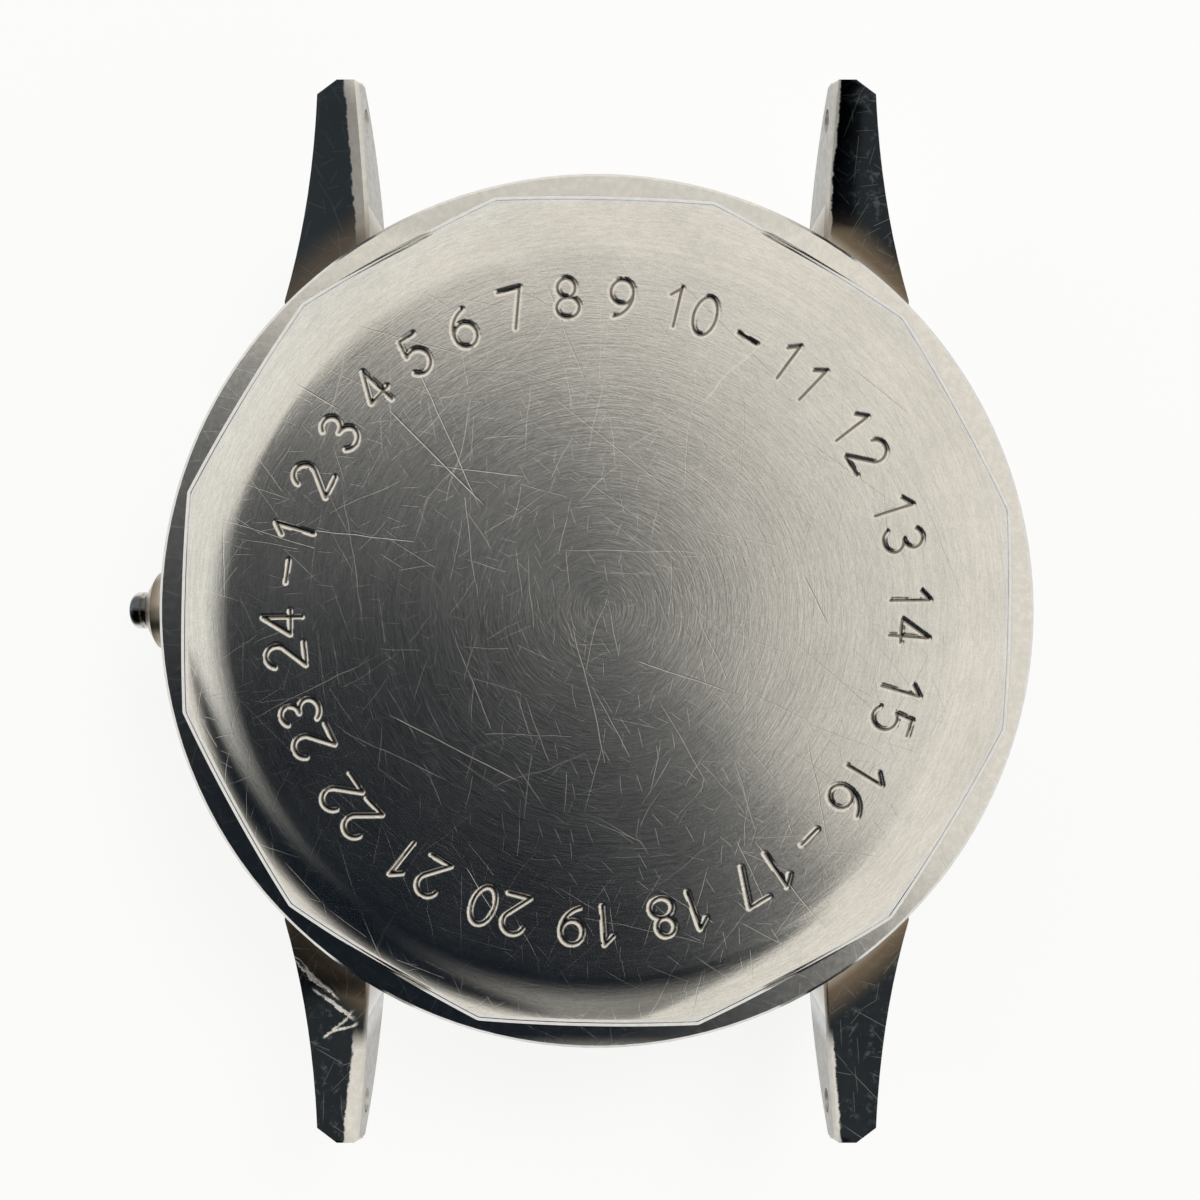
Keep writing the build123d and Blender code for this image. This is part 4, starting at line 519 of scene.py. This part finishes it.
def clear_plastic():
    """Clear plastic glass with hairline scratches from wear."""
    paint = new_paint("clear_plastic")
    place = paint.place()
    x, y, z = paint.split(place)
    hairs = paint.stray_scratches(paint.join(x, y, 0.0), 1.6, 1.3, 0.02, 0.7, 2.3)
    more = paint.stray_scratches(paint.join(x, y, 0.0), 3.6, 3.0, 0.02, 0.6, 8.8)
    marks = (hairs + more).clamped()
    haze = paint.noise(place, 0.5, 4.0, 0.6)
    paint.finish(Base_Color=(0.97, 0.97, 0.93), Roughness=0.02 + marks * 0.35 + haze * 0.04,
                 IOR=1.49, Transmission_Weight=1.0, Normal=paint.bump(0 - marks, 0.3))


def seal_rubber():
    paint = new_paint("seal_rubber")
    place = paint.place()
    grain = paint.noise(place, 9.0, 4.0, 0.6)
    tone = paint.mix_colour(grain.smooth(0.4, 0.7), (0.018, 0.018, 0.019), (0.05, 0.048, 0.045))
    paint.finish(Base_Color=tone, Roughness=0.55 + grain * 0.25, Normal=paint.bump(grain, 0.5))


def dial_paint(colours):
    """Cream paint, a little foxed, darker towards the rim."""
    paint = new_paint("dial_paint")
    place = paint.place()
    x, y, z = paint.split(place)
    radius = (x ** 2 + y ** 2).math("SQRT")
    rim = radius.smooth(7.0, 13.5)
    foxing = paint.noise(place, 1.8, 6.0, 0.7).smooth(0.58, 0.75)
    grain = paint.noise(place, 30.0, 2.0, 0.5)
    tone = paint.mix_colour(rim * 0.5, colours.dial, (0.62, 0.52, 0.34))
    tone = paint.mix_colour(foxing * 0.45, tone, (0.42, 0.30, 0.16))
    paint.finish(Base_Color=tone, Roughness=0.42 + grain * 0.12, Coat_Weight=0.2 + grain * 0.1,
                 Normal=paint.bump(grain, 0.15, 0.005 * MM))


def print_ink():
    paint = new_paint("print_ink")
    grain = paint.noise(paint.place(), 24.0, 3.0, 0.6)
    tone = paint.mix_colour(grain, (0.02, 0.02, 0.022), (0.06, 0.055, 0.05))
    paint.finish(Base_Color=tone, Roughness=0.4 + grain * 0.2)


def arc(centre, radii, start, end, steps=14):
    """Points of an ellipse's arc, from one angle to another in degrees."""
    turns = [math.radians(start + (end - start) * i / steps) for i in range(steps + 1)]
    return [(centre[0] + radii[0] * math.cos(t), centre[1] + radii[1] * math.sin(t)) for t in turns]


def digit_strokes():
    """The engraver's strokes of each digit and of a dash, in a box 0.6 wide and 1 high."""
    six = [arc((0.3, 0.31), (0.29, 0.31), 100, 460),
           arc((0.66, 0.36), (0.65, 0.62), 180, 108, 8)]
    nine = [[(0.6 - u, 1 - v) for u, v in stroke] for stroke in six]
    return {
        "0": [arc((0.3, 0.5), (0.29, 0.5), 90, 450, 20)],
        "1": [[(0.12, 0.78), (0.36, 1.0), (0.36, 0.0)]],
        "2": [arc((0.3, 0.71), (0.28, 0.29), 165, -35) + [(0.02, 0.0), (0.6, 0.0)]],
        "3": [arc((0.29, 0.76), (0.25, 0.24), 150, -90), arc((0.28, 0.26), (0.3, 0.26), 90, -150)],
        "4": [[(0.44, 0.0), (0.44, 1.0), (0.0, 0.3), (0.6, 0.3)]],
        "5": [[(0.54, 1.0), (0.12, 1.0), (0.07, 0.56)] + arc((0.27, 0.32), (0.31, 0.32), 125, -140)],
        "6": six,
        "7": [[(0.0, 1.0), (0.58, 1.0), (0.22, 0.0)]],
        "8": [arc((0.3, 0.76), (0.23, 0.24), 90, 450, 18), arc((0.3, 0.26), (0.29, 0.26), 90, 450, 20)],
        "9": nine,
        "-": [[(0.02, 0.42), (0.58, 0.42)]],
    }


# The ring of numbers: where each dash stands, in degrees, and the numbers after it
NUMBER_ARCS = ((172.6, 1, 10), (61.0, 11, 16), (-46.6, 17, 24))


def ring_signs():
    """Each sign of the ring of numbers with its angle, going round clockwise."""
    signs = []
    for index, (start, first, last) in enumerate(NUMBER_ARCS):
        stop = NUMBER_ARCS[(index + 1) % len(NUMBER_ARCS)][0]
        sweep = (start - stop) % 360
        signs.append(("-", start))
        words = [str(n) for n in range(first, last + 1)]
        weight = sum(len(w) for w in words) + 0.75 * (len(words) - 1) + 1.9
        step = sweep / weight
        angle = start - 1.35 * step
        for word in words:
            for sign in word:
                signs.append((sign, angle))
                angle -= step
            angle -= 0.75 * step
    return signs


def engraved_segments(sizes):
    """All strokes of the ring of numbers as short segments on the face, in metres."""
    strokes = digit_strokes()
    rng = np.random.default_rng(12)
    segments = []
    for sign, angle in ring_signs():
        lean = math.radians(rng.uniform(-2.5, 2.5))
        lift = rng.uniform(-0.03, 0.03) * sizes.digit_height
        turn = math.radians(angle)
        outward = Vector((math.cos(turn), math.sin(turn)))
        onward = Vector((math.sin(turn), -math.cos(turn)))
        for stroke in strokes[sign]:
            points = []
            for u, v in stroke:
                across = (u - 0.3) * sizes.digit_height
                up = (v - 0.5) * sizes.digit_height
                across, up = (across * math.cos(lean) - up * math.sin(lean),
                              across * math.sin(lean) + up * math.cos(lean))
                foot = sizes.digit_foot + sizes.digit_height / 2 + lift
                points.append(outward * (foot + up) + onward * across)
            segments += [(tuple(a), tuple(b)) for a, b in zip(points, points[1:])]
    return np.array(segments)


def cut_depths(points, segments, half_width, depth):
    """How deep the engraver's cut is below each point of the face."""
    found = np.full(len(points), np.inf)
    for (ax, ay), (bx, by) in segments:
        low = np.array((min(ax, bx), min(ay, by))) - half_width
        high = np.array((max(ax, bx), max(ay, by))) + half_width
        near = np.nonzero(np.all((points >= low) & (points <= high), axis=1))[0]
        if not len(near):
            continue
        start, run = np.array((ax, ay)), np.array((bx - ax, by - ay))
        share = np.clip(((points[near] - start) @ run) / max(run @ run, 1e-18), 0, 1)
        away = np.linalg.norm(points[near] - start - share[:, None] * run, axis=1)
        found[near] = np.minimum(found[near], away)
    share = np.clip(1 - found / half_width, 0, 1)
    return depth * np.minimum(share * 1.5, 1.0)


def shoulder_height(radius, sizes):
    """Height of the rounded shoulder at a radius."""
    reach = np.clip((radius - sizes.face_radius) / (sizes.corner_radius - sizes.face_radius), 0, 1)
    return BACK_TOP - sizes.corner_drop * reach ** 1.6


def new_piece(name, points, faces):
    mesh = bpy.data.meshes.new(name)
    mesh.from_pydata(points, [], faces)
    mesh.update()
    piece = bpy.data.objects.new(name, mesh)
    bpy.context.scene.collection.objects.link(piece)
    return piece


def ring_faces(levels, sectors):
    """The faces between each ring of points and the next."""
    faces = []
    for level in range(levels - 1):
        here, there = level * sectors, (level + 1) * sectors
        for i in range(sectors):
            j = (i + 1) % sectors
            faces.append((here + i, there + i, there + j, here + j))
    return faces


def polar_mesh(name, rings, sectors):
    """A closed skin over rings of points. Each ring holds sectors points in order."""
    points = np.concatenate(rings)
    faces = ring_faces(len(rings), sectors)
    first, last = len(points), len(points) + 1
    ends = np.array((rings[0].mean(axis=0), rings[-1].mean(axis=0)))
    points = np.concatenate((points, ends))
    base = (len(rings) - 1) * sectors
    for i in range(sectors):
        j = (i + 1) % sectors
        faces.append((first, i, j))
        faces.append((last, base + j, base + i))
    return new_piece(name, points.tolist(), faces)


def set_materials(piece, *materials):
    """Puts the materials in the piece's slots, and fills any more slots with the first."""
    slots = piece.data.materials
    while len(slots) < len(materials):
        slots.append(None)
    for index in range(len(slots)):
        slots[index] = materials[index] if index < len(materials) else materials[0]


def smooth_by_angle(piece, degrees):
    piece.data.shade_smooth()
    piece.data.set_sharp_from_angle(angle=math.radians(degrees))


def dress(names, *materials):
    for name in names:
        set_materials(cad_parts[name], *materials)


def soften_edges(piece, width):
    """Rounds a piece's sharp edges and puts its second material on the rounding."""
    weld = piece.modifiers.new("weld", "WELD")
    weld.merge_threshold = 0.0005 * MM
    bevel = piece.modifiers.new("worn_edges", "BEVEL")
    bevel.limit_method = "ANGLE"
    bevel.angle_limit = math.radians(32)
    bevel.width = width
    bevel.segments = 3
    bevel.use_clamp_overlap = True
    bevel.harden_normals = False
    bevel.material = 1


class WATCH_OT_stage(bpy.types.Operator):
    """Sets up the table, the soft studio light and the camera over the watch"""

    bl_idname = "watch.stage"
    bl_label = "Stage"

    def execute(self, context):
        self.make_floor(context.scene.watch_colours)
        self.make_world()
        self.make_lamps(context)
        self.make_camera(context)
        return {"FINISHED"}

    def make_floor(self, colours):
        sectors = 96
        rings = []
        for radius in (0.05, 0.2, 0.8, 3.0):
            turns = np.linspace(0, 2 * np.pi, sectors, endpoint=False)
            rings.append(np.stack((radius * np.cos(turns), radius * np.sin(turns),
                                   np.full(sectors, -0.02 * MM)), axis=1))
        faces = [tuple(range(sectors))] + ring_faces(len(rings), sectors)
        table = new_piece("table", np.concatenate(rings).tolist(), faces)
        paint = new_paint("table_paper")
        rays = paint.node("ShaderNodeLightPath")
        seen = (paint.field(rays, "Is Camera Ray") + paint.field(rays, "Is Glossy Ray")
                + paint.field(rays, "Is Transmission Ray")).clamped()
        grain = paint.noise(paint.place(), 0.4, 3.0, 0.5)
        tone = paint.mix_colour(grain * 0.1, tuple(colours.floor), (0.84, 0.84, 0.83))
        paper = paint.node("ShaderNodeBsdfPrincipled", None, {"Base Color": tone, "Roughness": 0.9})
        glow = paint.node("ShaderNodeEmission", None, {"Color": (1, 1, 1), "Strength": 1.0})
        mixed = paint.node("ShaderNodeMixShader", None,
                           {0: seen * 0.85, 1: paper.outputs[0], 2: glow.outputs[0]})
        output = paint.node("ShaderNodeOutputMaterial")
        paint.tree.links.new(mixed.outputs[0], output.inputs[0])
        set_materials(table, bpy.data.materials["table_paper"])

    def make_world(self):
        """A pale room with one dark corner overhead, which polished steel picks up."""
        world = bpy.data.worlds.new("studio")
        bpy.context.scene.world = world
        world.use_nodes = True
        paint = Paint(world.node_tree)
        direction = paint.node("ShaderNodeTexCoord")
        x, y, z = paint.split(direction.outputs["Generated"])
        height = z.math("MAXIMUM", 0.02)
        east, north = x / height, y / height

        # Directions as places on a sheet overhead, from the dark patch's darkest place
        right, up = east + 0.17, north + 0.21
        left, down = 0 - right, 0 - up
        bulge = down.smooth(-0.08, 0.06) * 0.12 + down.smooth(0.15, 0.7) * 0.35
        across = (right - bulge).math("MAXIMUM", 0) / 0.32
        along = up.math("MAXIMUM", 0) / 0.45
        fade = (across ** 2 + along ** 2).math("SQRT").smooth(0.18, 1.2)

        # Where the pale room begins, on each side of the patch
        to_left = left.smooth(0.15, 1.9) * (1 - down.smooth(0.1, 0.7))
        to_front = down.smooth(0.5, 1.8) * (1 - left.smooth(0.1, 0.7)) * 0.3
        far = (east ** 2 + north ** 2).math("SQRT").smooth(3.0, 9.0)
        border = (across ** 3 + along ** 3).smooth(0.7, 1.15)
        border = border.math("MAXIMUM", to_front).math("MAXIMUM", far)
        shade = paint.mix_colour(fade, (0.005, 0.010, 0.017), (0.24, 0.245, 0.245))
        tone = paint.mix_colour(border, shade, (1.0, 0.96, 0.88))
        tone = paint.mix_colour(to_left, tone, (1.0, 0.99, 0.93))
        rays = paint.node("ShaderNodeLightPath")
        sky = paint.mix_colour(paint.field(rays, "Is Camera Ray"), tone, (1.0, 1.0, 1.0))
        background = paint.node("ShaderNodeBackground", None, {"Color": sky, "Strength": 1.0})
        output = paint.node("ShaderNodeOutputWorld")
        paint.tree.links.new(background.outputs[0], output.inputs[0])

    def make_lamps(self, context):
        for name, place, size, power in (
            ("key_softbox", (0.22, 0.30, 0.42), 0.22, 0.9),
            ("fill_softbox", (-0.35, 0.15, 0.25), 0.20, 0.25),
        ):
            lamp = bpy.data.lights.new(name, "AREA")
            lamp.shape = "SQUARE"
            lamp.size = size
            lamp.energy = power
            lamp.color = (1.0, 0.97, 0.92)
            holder = bpy.data.objects.new(name, lamp)
            holder.location = place
            holder.rotation_euler = (-Vector(place)).to_track_quat("-Z", "Y").to_euler()
            holder.visible_glossy = False
            context.scene.collection.objects.link(holder)

    def make_camera(self, context):
        data = bpy.data.cameras.new("camera")
        data.sensor_width = 36.0
        data.lens = 35.8
        data.clip_start = 0.001
        data.clip_end = 10.0
        camera = bpy.data.objects.new("camera", data)
        camera.location = (0.00013, 0.00042, 0.054)
        context.scene.collection.objects.link(camera)
        context.scene.camera = camera
        context.scene.view_settings.view_transform = "Standard"


class WATCH_OT_back(bpy.types.Operator):
    """Builds the twelve sided screw back with its polished flats and engraved numbers"""

    bl_idname = "watch.back"
    bl_label = "Screw back"
    sectors = 1440
    cut_rings = 42

    def execute(self, context):
        sizes = context.scene.watch_back
        turns = np.linspace(0, 2 * np.pi, self.sectors, endpoint=False)
        side = 2 * np.pi / sizes.sides
        apothem = sizes.corner_radius * math.cos(side / 2)
        from_middle = (turns - sizes.turn) % side - side / 2
        outer = apothem / np.cos(from_middle)
        inner = (apothem - sizes.chamfer) / np.cos(from_middle)
        inner = np.minimum(inner, outer - sizes.chamfer * 0.35)

        def ring(radius, height):
            radius, height = np.broadcast_to(radius, turns.shape), np.broadcast_to(height, turns.shape)
            return np.stack((radius * np.cos(turns), radius * np.sin(turns), height), axis=1)

        rings = self.face(ring, sizes) + self.shoulder(ring, sizes, inner)
        first_chamfer = (len(rings) - 1) * self.sectors
        rim = shoulder_height(inner, sizes)
        fall = (outer - inner) * 1.1
        for share in (0.18, 0.5, 0.82, 0.97):
            rings.append(ring(inner + (outer - inner) * share, rim - fall * share ** 1.25))
        lower = rim - fall - 0.06 * MM
        rings.append(ring(outer, lower))
        last_chamfer = (len(rings) - 1) * self.sectors
        rings += self.underside(ring, outer, lower)
        piece = polar_mesh("numbered_back", rings, self.sectors)
        smooth_by_angle(piece, 38)
        set_materials(piece, bpy.data.materials["bullseye_steel"], bpy.data.materials["chamfer_steel"])
        slots = np.zeros(len(piece.data.polygons), dtype=np.int32)
        slots[first_chamfer:last_chamfer] = 1
        piece.data.polygons.foreach_set("material_index", slots)
        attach(piece, "back")
        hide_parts("case_back")
        return {"FINISHED"}

    def face(self, ring, sizes):
        """The flat face, with fine rings where the numbers are cut."""
        margin = 0.25 * MM
        cut_start = sizes.digit_foot - margin
        cut_end = sizes.digit_foot + sizes.digit_height + margin
        plain = [ring(radius * MM, BACK_TOP) for radius in (0.4, 3, 7)]
        segments = engraved_segments(sizes)
        engraved = []
        for radius in np.linspace(cut_start, cut_end, self.cut_rings):
            here = ring(radius, BACK_TOP)
            here[:, 2] -= cut_depths(here[:, :2], segments, sizes.stroke / 2, sizes.stroke_depth)
            engraved.append(here)
        return plain + engraved + [ring((cut_end + sizes.face_radius) / 2, BACK_TOP)]

    def shoulder(self, ring, sizes, inner):
        """The rounded shoulder, down to a fine groove and the inner edge of the chamfer."""
        groove = 0.04 * MM
        rings = []
        for share in np.linspace(0, 1, 14):
            radius = sizes.face_radius + share * (inner - groove - sizes.face_radius)
            rings.append(ring(radius, shoulder_height(radius, sizes)))
        rim = shoulder_height(inner, sizes)
        rings.append(ring(inner - groove / 2, rim - groove * 0.6))
        rings.append(ring(inner, rim))
        return rings

    def underside(self, ring, outer, lower):
        """The rim, the foot on the case and the threaded skirt."""
        foot, edge = BACK_FOOT * MM, 0.05 * MM
        rings = [ring(outer, (lower + foot) / 2), ring(outer, foot + edge), ring(outer - edge, foot)]
        crest, root = 14.55, 14.4
        profile = [(crest, BACK_FOOT), (crest, 7.7), (root, 7.6)]
        for turn in range(4):
            profile += [(crest, 7.5 - 0.25 * turn), (root, 7.35 - 0.25 * turn)]
        profile += [(14.45, 6.35), (13.75, 6.35), (13.75, BACK_FOOT), (13.0, 8.5), (1.0, 8.5)]
        return rings + [ring(radius * MM, height * MM) for radius, height in profile]


class WATCH_OT_case(bpy.types.Operator):
    """Gives the case middle, lugs and tube their worn polished steel, with a painted dark reflection on
    their back faces, and rounds the lugs' edges
    """

    bl_idname = "watch.case"
    bl_label = "Case and lugs"

    def execute(self, context):
        band, worn = bpy.data.materials["band_steel"], bpy.data.materials["edge_steel"]
        lug_steel = bpy.data.materials["lug_steel"]
        dress(("case_middle",), band, worn)
        dress(("case_tube",), lug_steel, worn)
        lugs = ("lug_12_left", "lug_12_right", "lug_6_left", "lug_6_right")
        dress(lugs, lug_steel, worn)
        for name in lugs:
            soften_edges(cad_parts[name], 0.11 * MM)
        return {"FINISHED"}


class WATCH_OT_glass(bpy.types.Operator):
    """Dresses the crystal, its tension ring and the back's seal"""

    bl_idname = "watch.glass"
    bl_label = "Crystal and seals"

    def execute(self, context):
        dress(("crystal",), bpy.data.materials["clear_plastic"])
        dress(("tension_ring", "movement_ring"), bpy.data.materials["turned_brass"])
        dress(("back_gasket",), bpy.data.materials["seal_rubber"])
        return {"FINISHED"}


class WATCH_OT_dial(bpy.types.Operator):
    """Dresses dial and hands and prints the minute track"""

    bl_idname = "watch.dial"
    bl_label = "Dial and hands"

    def execute(self, context):
        dress(("dial",), bpy.data.materials["dial_paint"])
        dress(("hour_markers",), bpy.data.materials["turned_brass"])
        dress(("hour_hand", "minute_hand", "seconds_hand"), bpy.data.materials["blued_steel"])
        self.print_track()
        return {"FINISHED"}

    def print_track(self):
        """Sixty printed ticks and a thin circle, on the dial's outer face."""
        face = DIAL_FACE
        ink = 0.008 * MM
        tick_start, tick_end, circle_end = 11.6 * MM, 12.25 * MM, 12.31 * MM
        points, faces = [], []

        def block(corners):
            start = len(points)
            points.extend([(x, y, face) for x, y in corners])
            points.extend([(x, y, face - ink) for x, y in corners])
            faces.append((start, start + 1, start + 2, start + 3))
            faces.append((start + 7, start + 6, start + 5, start + 4))
            for i in range(4):
                j = (i + 1) % 4
                faces.append((start + j, start + i, start + 4 + i, start + 4 + j))

        for minute in range(60):
            turn = math.radians(6 * minute)
            half = (0.09 if minute % 5 == 0 else 0.035) * MM
            out = Vector((math.cos(turn), math.sin(turn)))
            side = Vector((-math.sin(turn), math.cos(turn)))
            low, high = out * tick_start, out * tick_end
            block([tuple(low - side * half), tuple(high - side * half),
                   tuple(high + side * half), tuple(low + side * half)])
        steps = 180
        around = [Vector((math.cos(2 * math.pi * i / steps), math.sin(2 * math.pi * i / steps)))
                  for i in range(steps + 1)]
        for here, there in zip(around, around[1:]):
            block([tuple(here * tick_end), tuple(here * circle_end),
                   tuple(there * circle_end), tuple(there * tick_end)])
        piece = new_piece("minute_track", points, faces)
        set_materials(piece, bpy.data.materials["print_ink"])
        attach(piece, "head")


class WATCH_OT_movement(bpy.types.Operator):
    """Dresses plate, bridges, wheels, jewels, springs and screws of the movement"""

    bl_idname = "watch.movement"
    bl_label = "Movement"

    def execute(self, context):
        looks = {
            "spotted_plating": ("main_plate", "pallet_bridge"),
            "striped_plating": ("barrel_bridge", "train_bridge", "balance_cock"),
            "turned_brass": ("barrel", "barrel_cover", "centre_wheel", "third_wheel", "fourth_wheel",
                             "hour_wheel", "minute_wheel", "balance_wheel"),
            "jewel_ruby": ("jewels",),
            "blued_steel": ("hairspring", "bridge_screws", "pallet_screws", "clamp_screws"),
        }
        done = {"case_middle", "case_tube", "lug_12_left", "lug_12_right", "lug_6_left", "lug_6_right",
                "crystal", "tension_ring", "movement_ring", "back_gasket", "dial", "hour_markers",
                "hour_hand", "minute_hand", "seconds_hand", "case_back"}
        for look, names in looks.items():
            dress(names, bpy.data.materials[look])
            done.update(names)
        rest = [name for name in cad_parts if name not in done]
        dress(rest, bpy.data.materials["ground_steel"])
        return {"FINISHED"}


class WATCH_OT_finishes(bpy.types.Operator):
    """Makes the materials that the pieces use"""

    bl_idname = "watch.finishes"
    bl_label = "Finishes"

    def execute(self, context):
        colours = context.scene.watch_colours
        bullseye_steel(colours)
        # Colour of the painted dark reflection on the back faces of the band, lugs and tube
        painted_reflection_navy = (0.0126, 0.018, 0.0228)
        worn_steel(colours, "band_steel", roughness=0.13, scratch=0.2, dirt=0.9, painted_reflection_tone=painted_reflection_navy)
        worn_steel(colours, "lug_steel", roughness=0.10, scratch=0.3, dirt=0.8, painted_reflection_tone=painted_reflection_navy)
        worn_steel(colours, "edge_steel", roughness=0.22, scratch=0.5, dirt=0.1)
        worn_steel(colours, "chamfer_steel", roughness=0.10, scratch=0.2, dirt=0.0)
        turned_metal("turned_brass", tuple(colours.brass))
        striped_plating(colours)
        spotted_plating(colours)
        ground_steel(colours)
        blued_steel(colours)
        jewel_ruby()
        clear_plastic()
        seal_rubber()
        dial_paint(colours)
        print_ink()
        return {"FINISHED"}


class WATCH_PT_sidebar(bpy.types.Panel):
    """Lists the sizes, the colours and the steps of the watch head"""

    bl_idname = "WATCH_PT_sidebar"
    bl_label = "Watch Head"
    bl_space_type = "VIEW_3D"
    bl_region_type = "UI"
    bl_category = "Watch Head"

    def draw(self, context):
        layout = self.layout
        for name in WatchBackSizes.__annotations__:
            layout.prop(context.scene.watch_back, name)
        for name in WatchColours.__annotations__:
            layout.prop(context.scene.watch_colours, name)
        for step in STEPS:
            layout.operator(step.bl_idname)


STEPS = (WATCH_OT_stage, WATCH_OT_finishes, WATCH_OT_back, WATCH_OT_case, WATCH_OT_glass,
         WATCH_OT_dial, WATCH_OT_movement)
CLASSES = (WatchBackSizes, WatchColours) + STEPS + (WATCH_PT_sidebar,)


def register():
    for cls in CLASSES:
        bpy.utils.register_class(cls)
    bpy.types.Scene.watch_back = bpy.props.PointerProperty(type=WatchBackSizes)
    bpy.types.Scene.watch_colours = bpy.props.PointerProperty(type=WatchColours)


def unregister():
    del bpy.types.Scene.watch_colours
    del bpy.types.Scene.watch_back
    for cls in reversed(CLASSES):
        bpy.utils.unregister_class(cls)


def main():
    register()
    bpy.ops.watch.stage()
    bpy.ops.watch.finishes()
    bpy.ops.watch.back()
    bpy.ops.watch.case()
    bpy.ops.watch.glass()
    bpy.ops.watch.dial()
    bpy.ops.watch.movement()


if __name__ == "__main__":
    main()
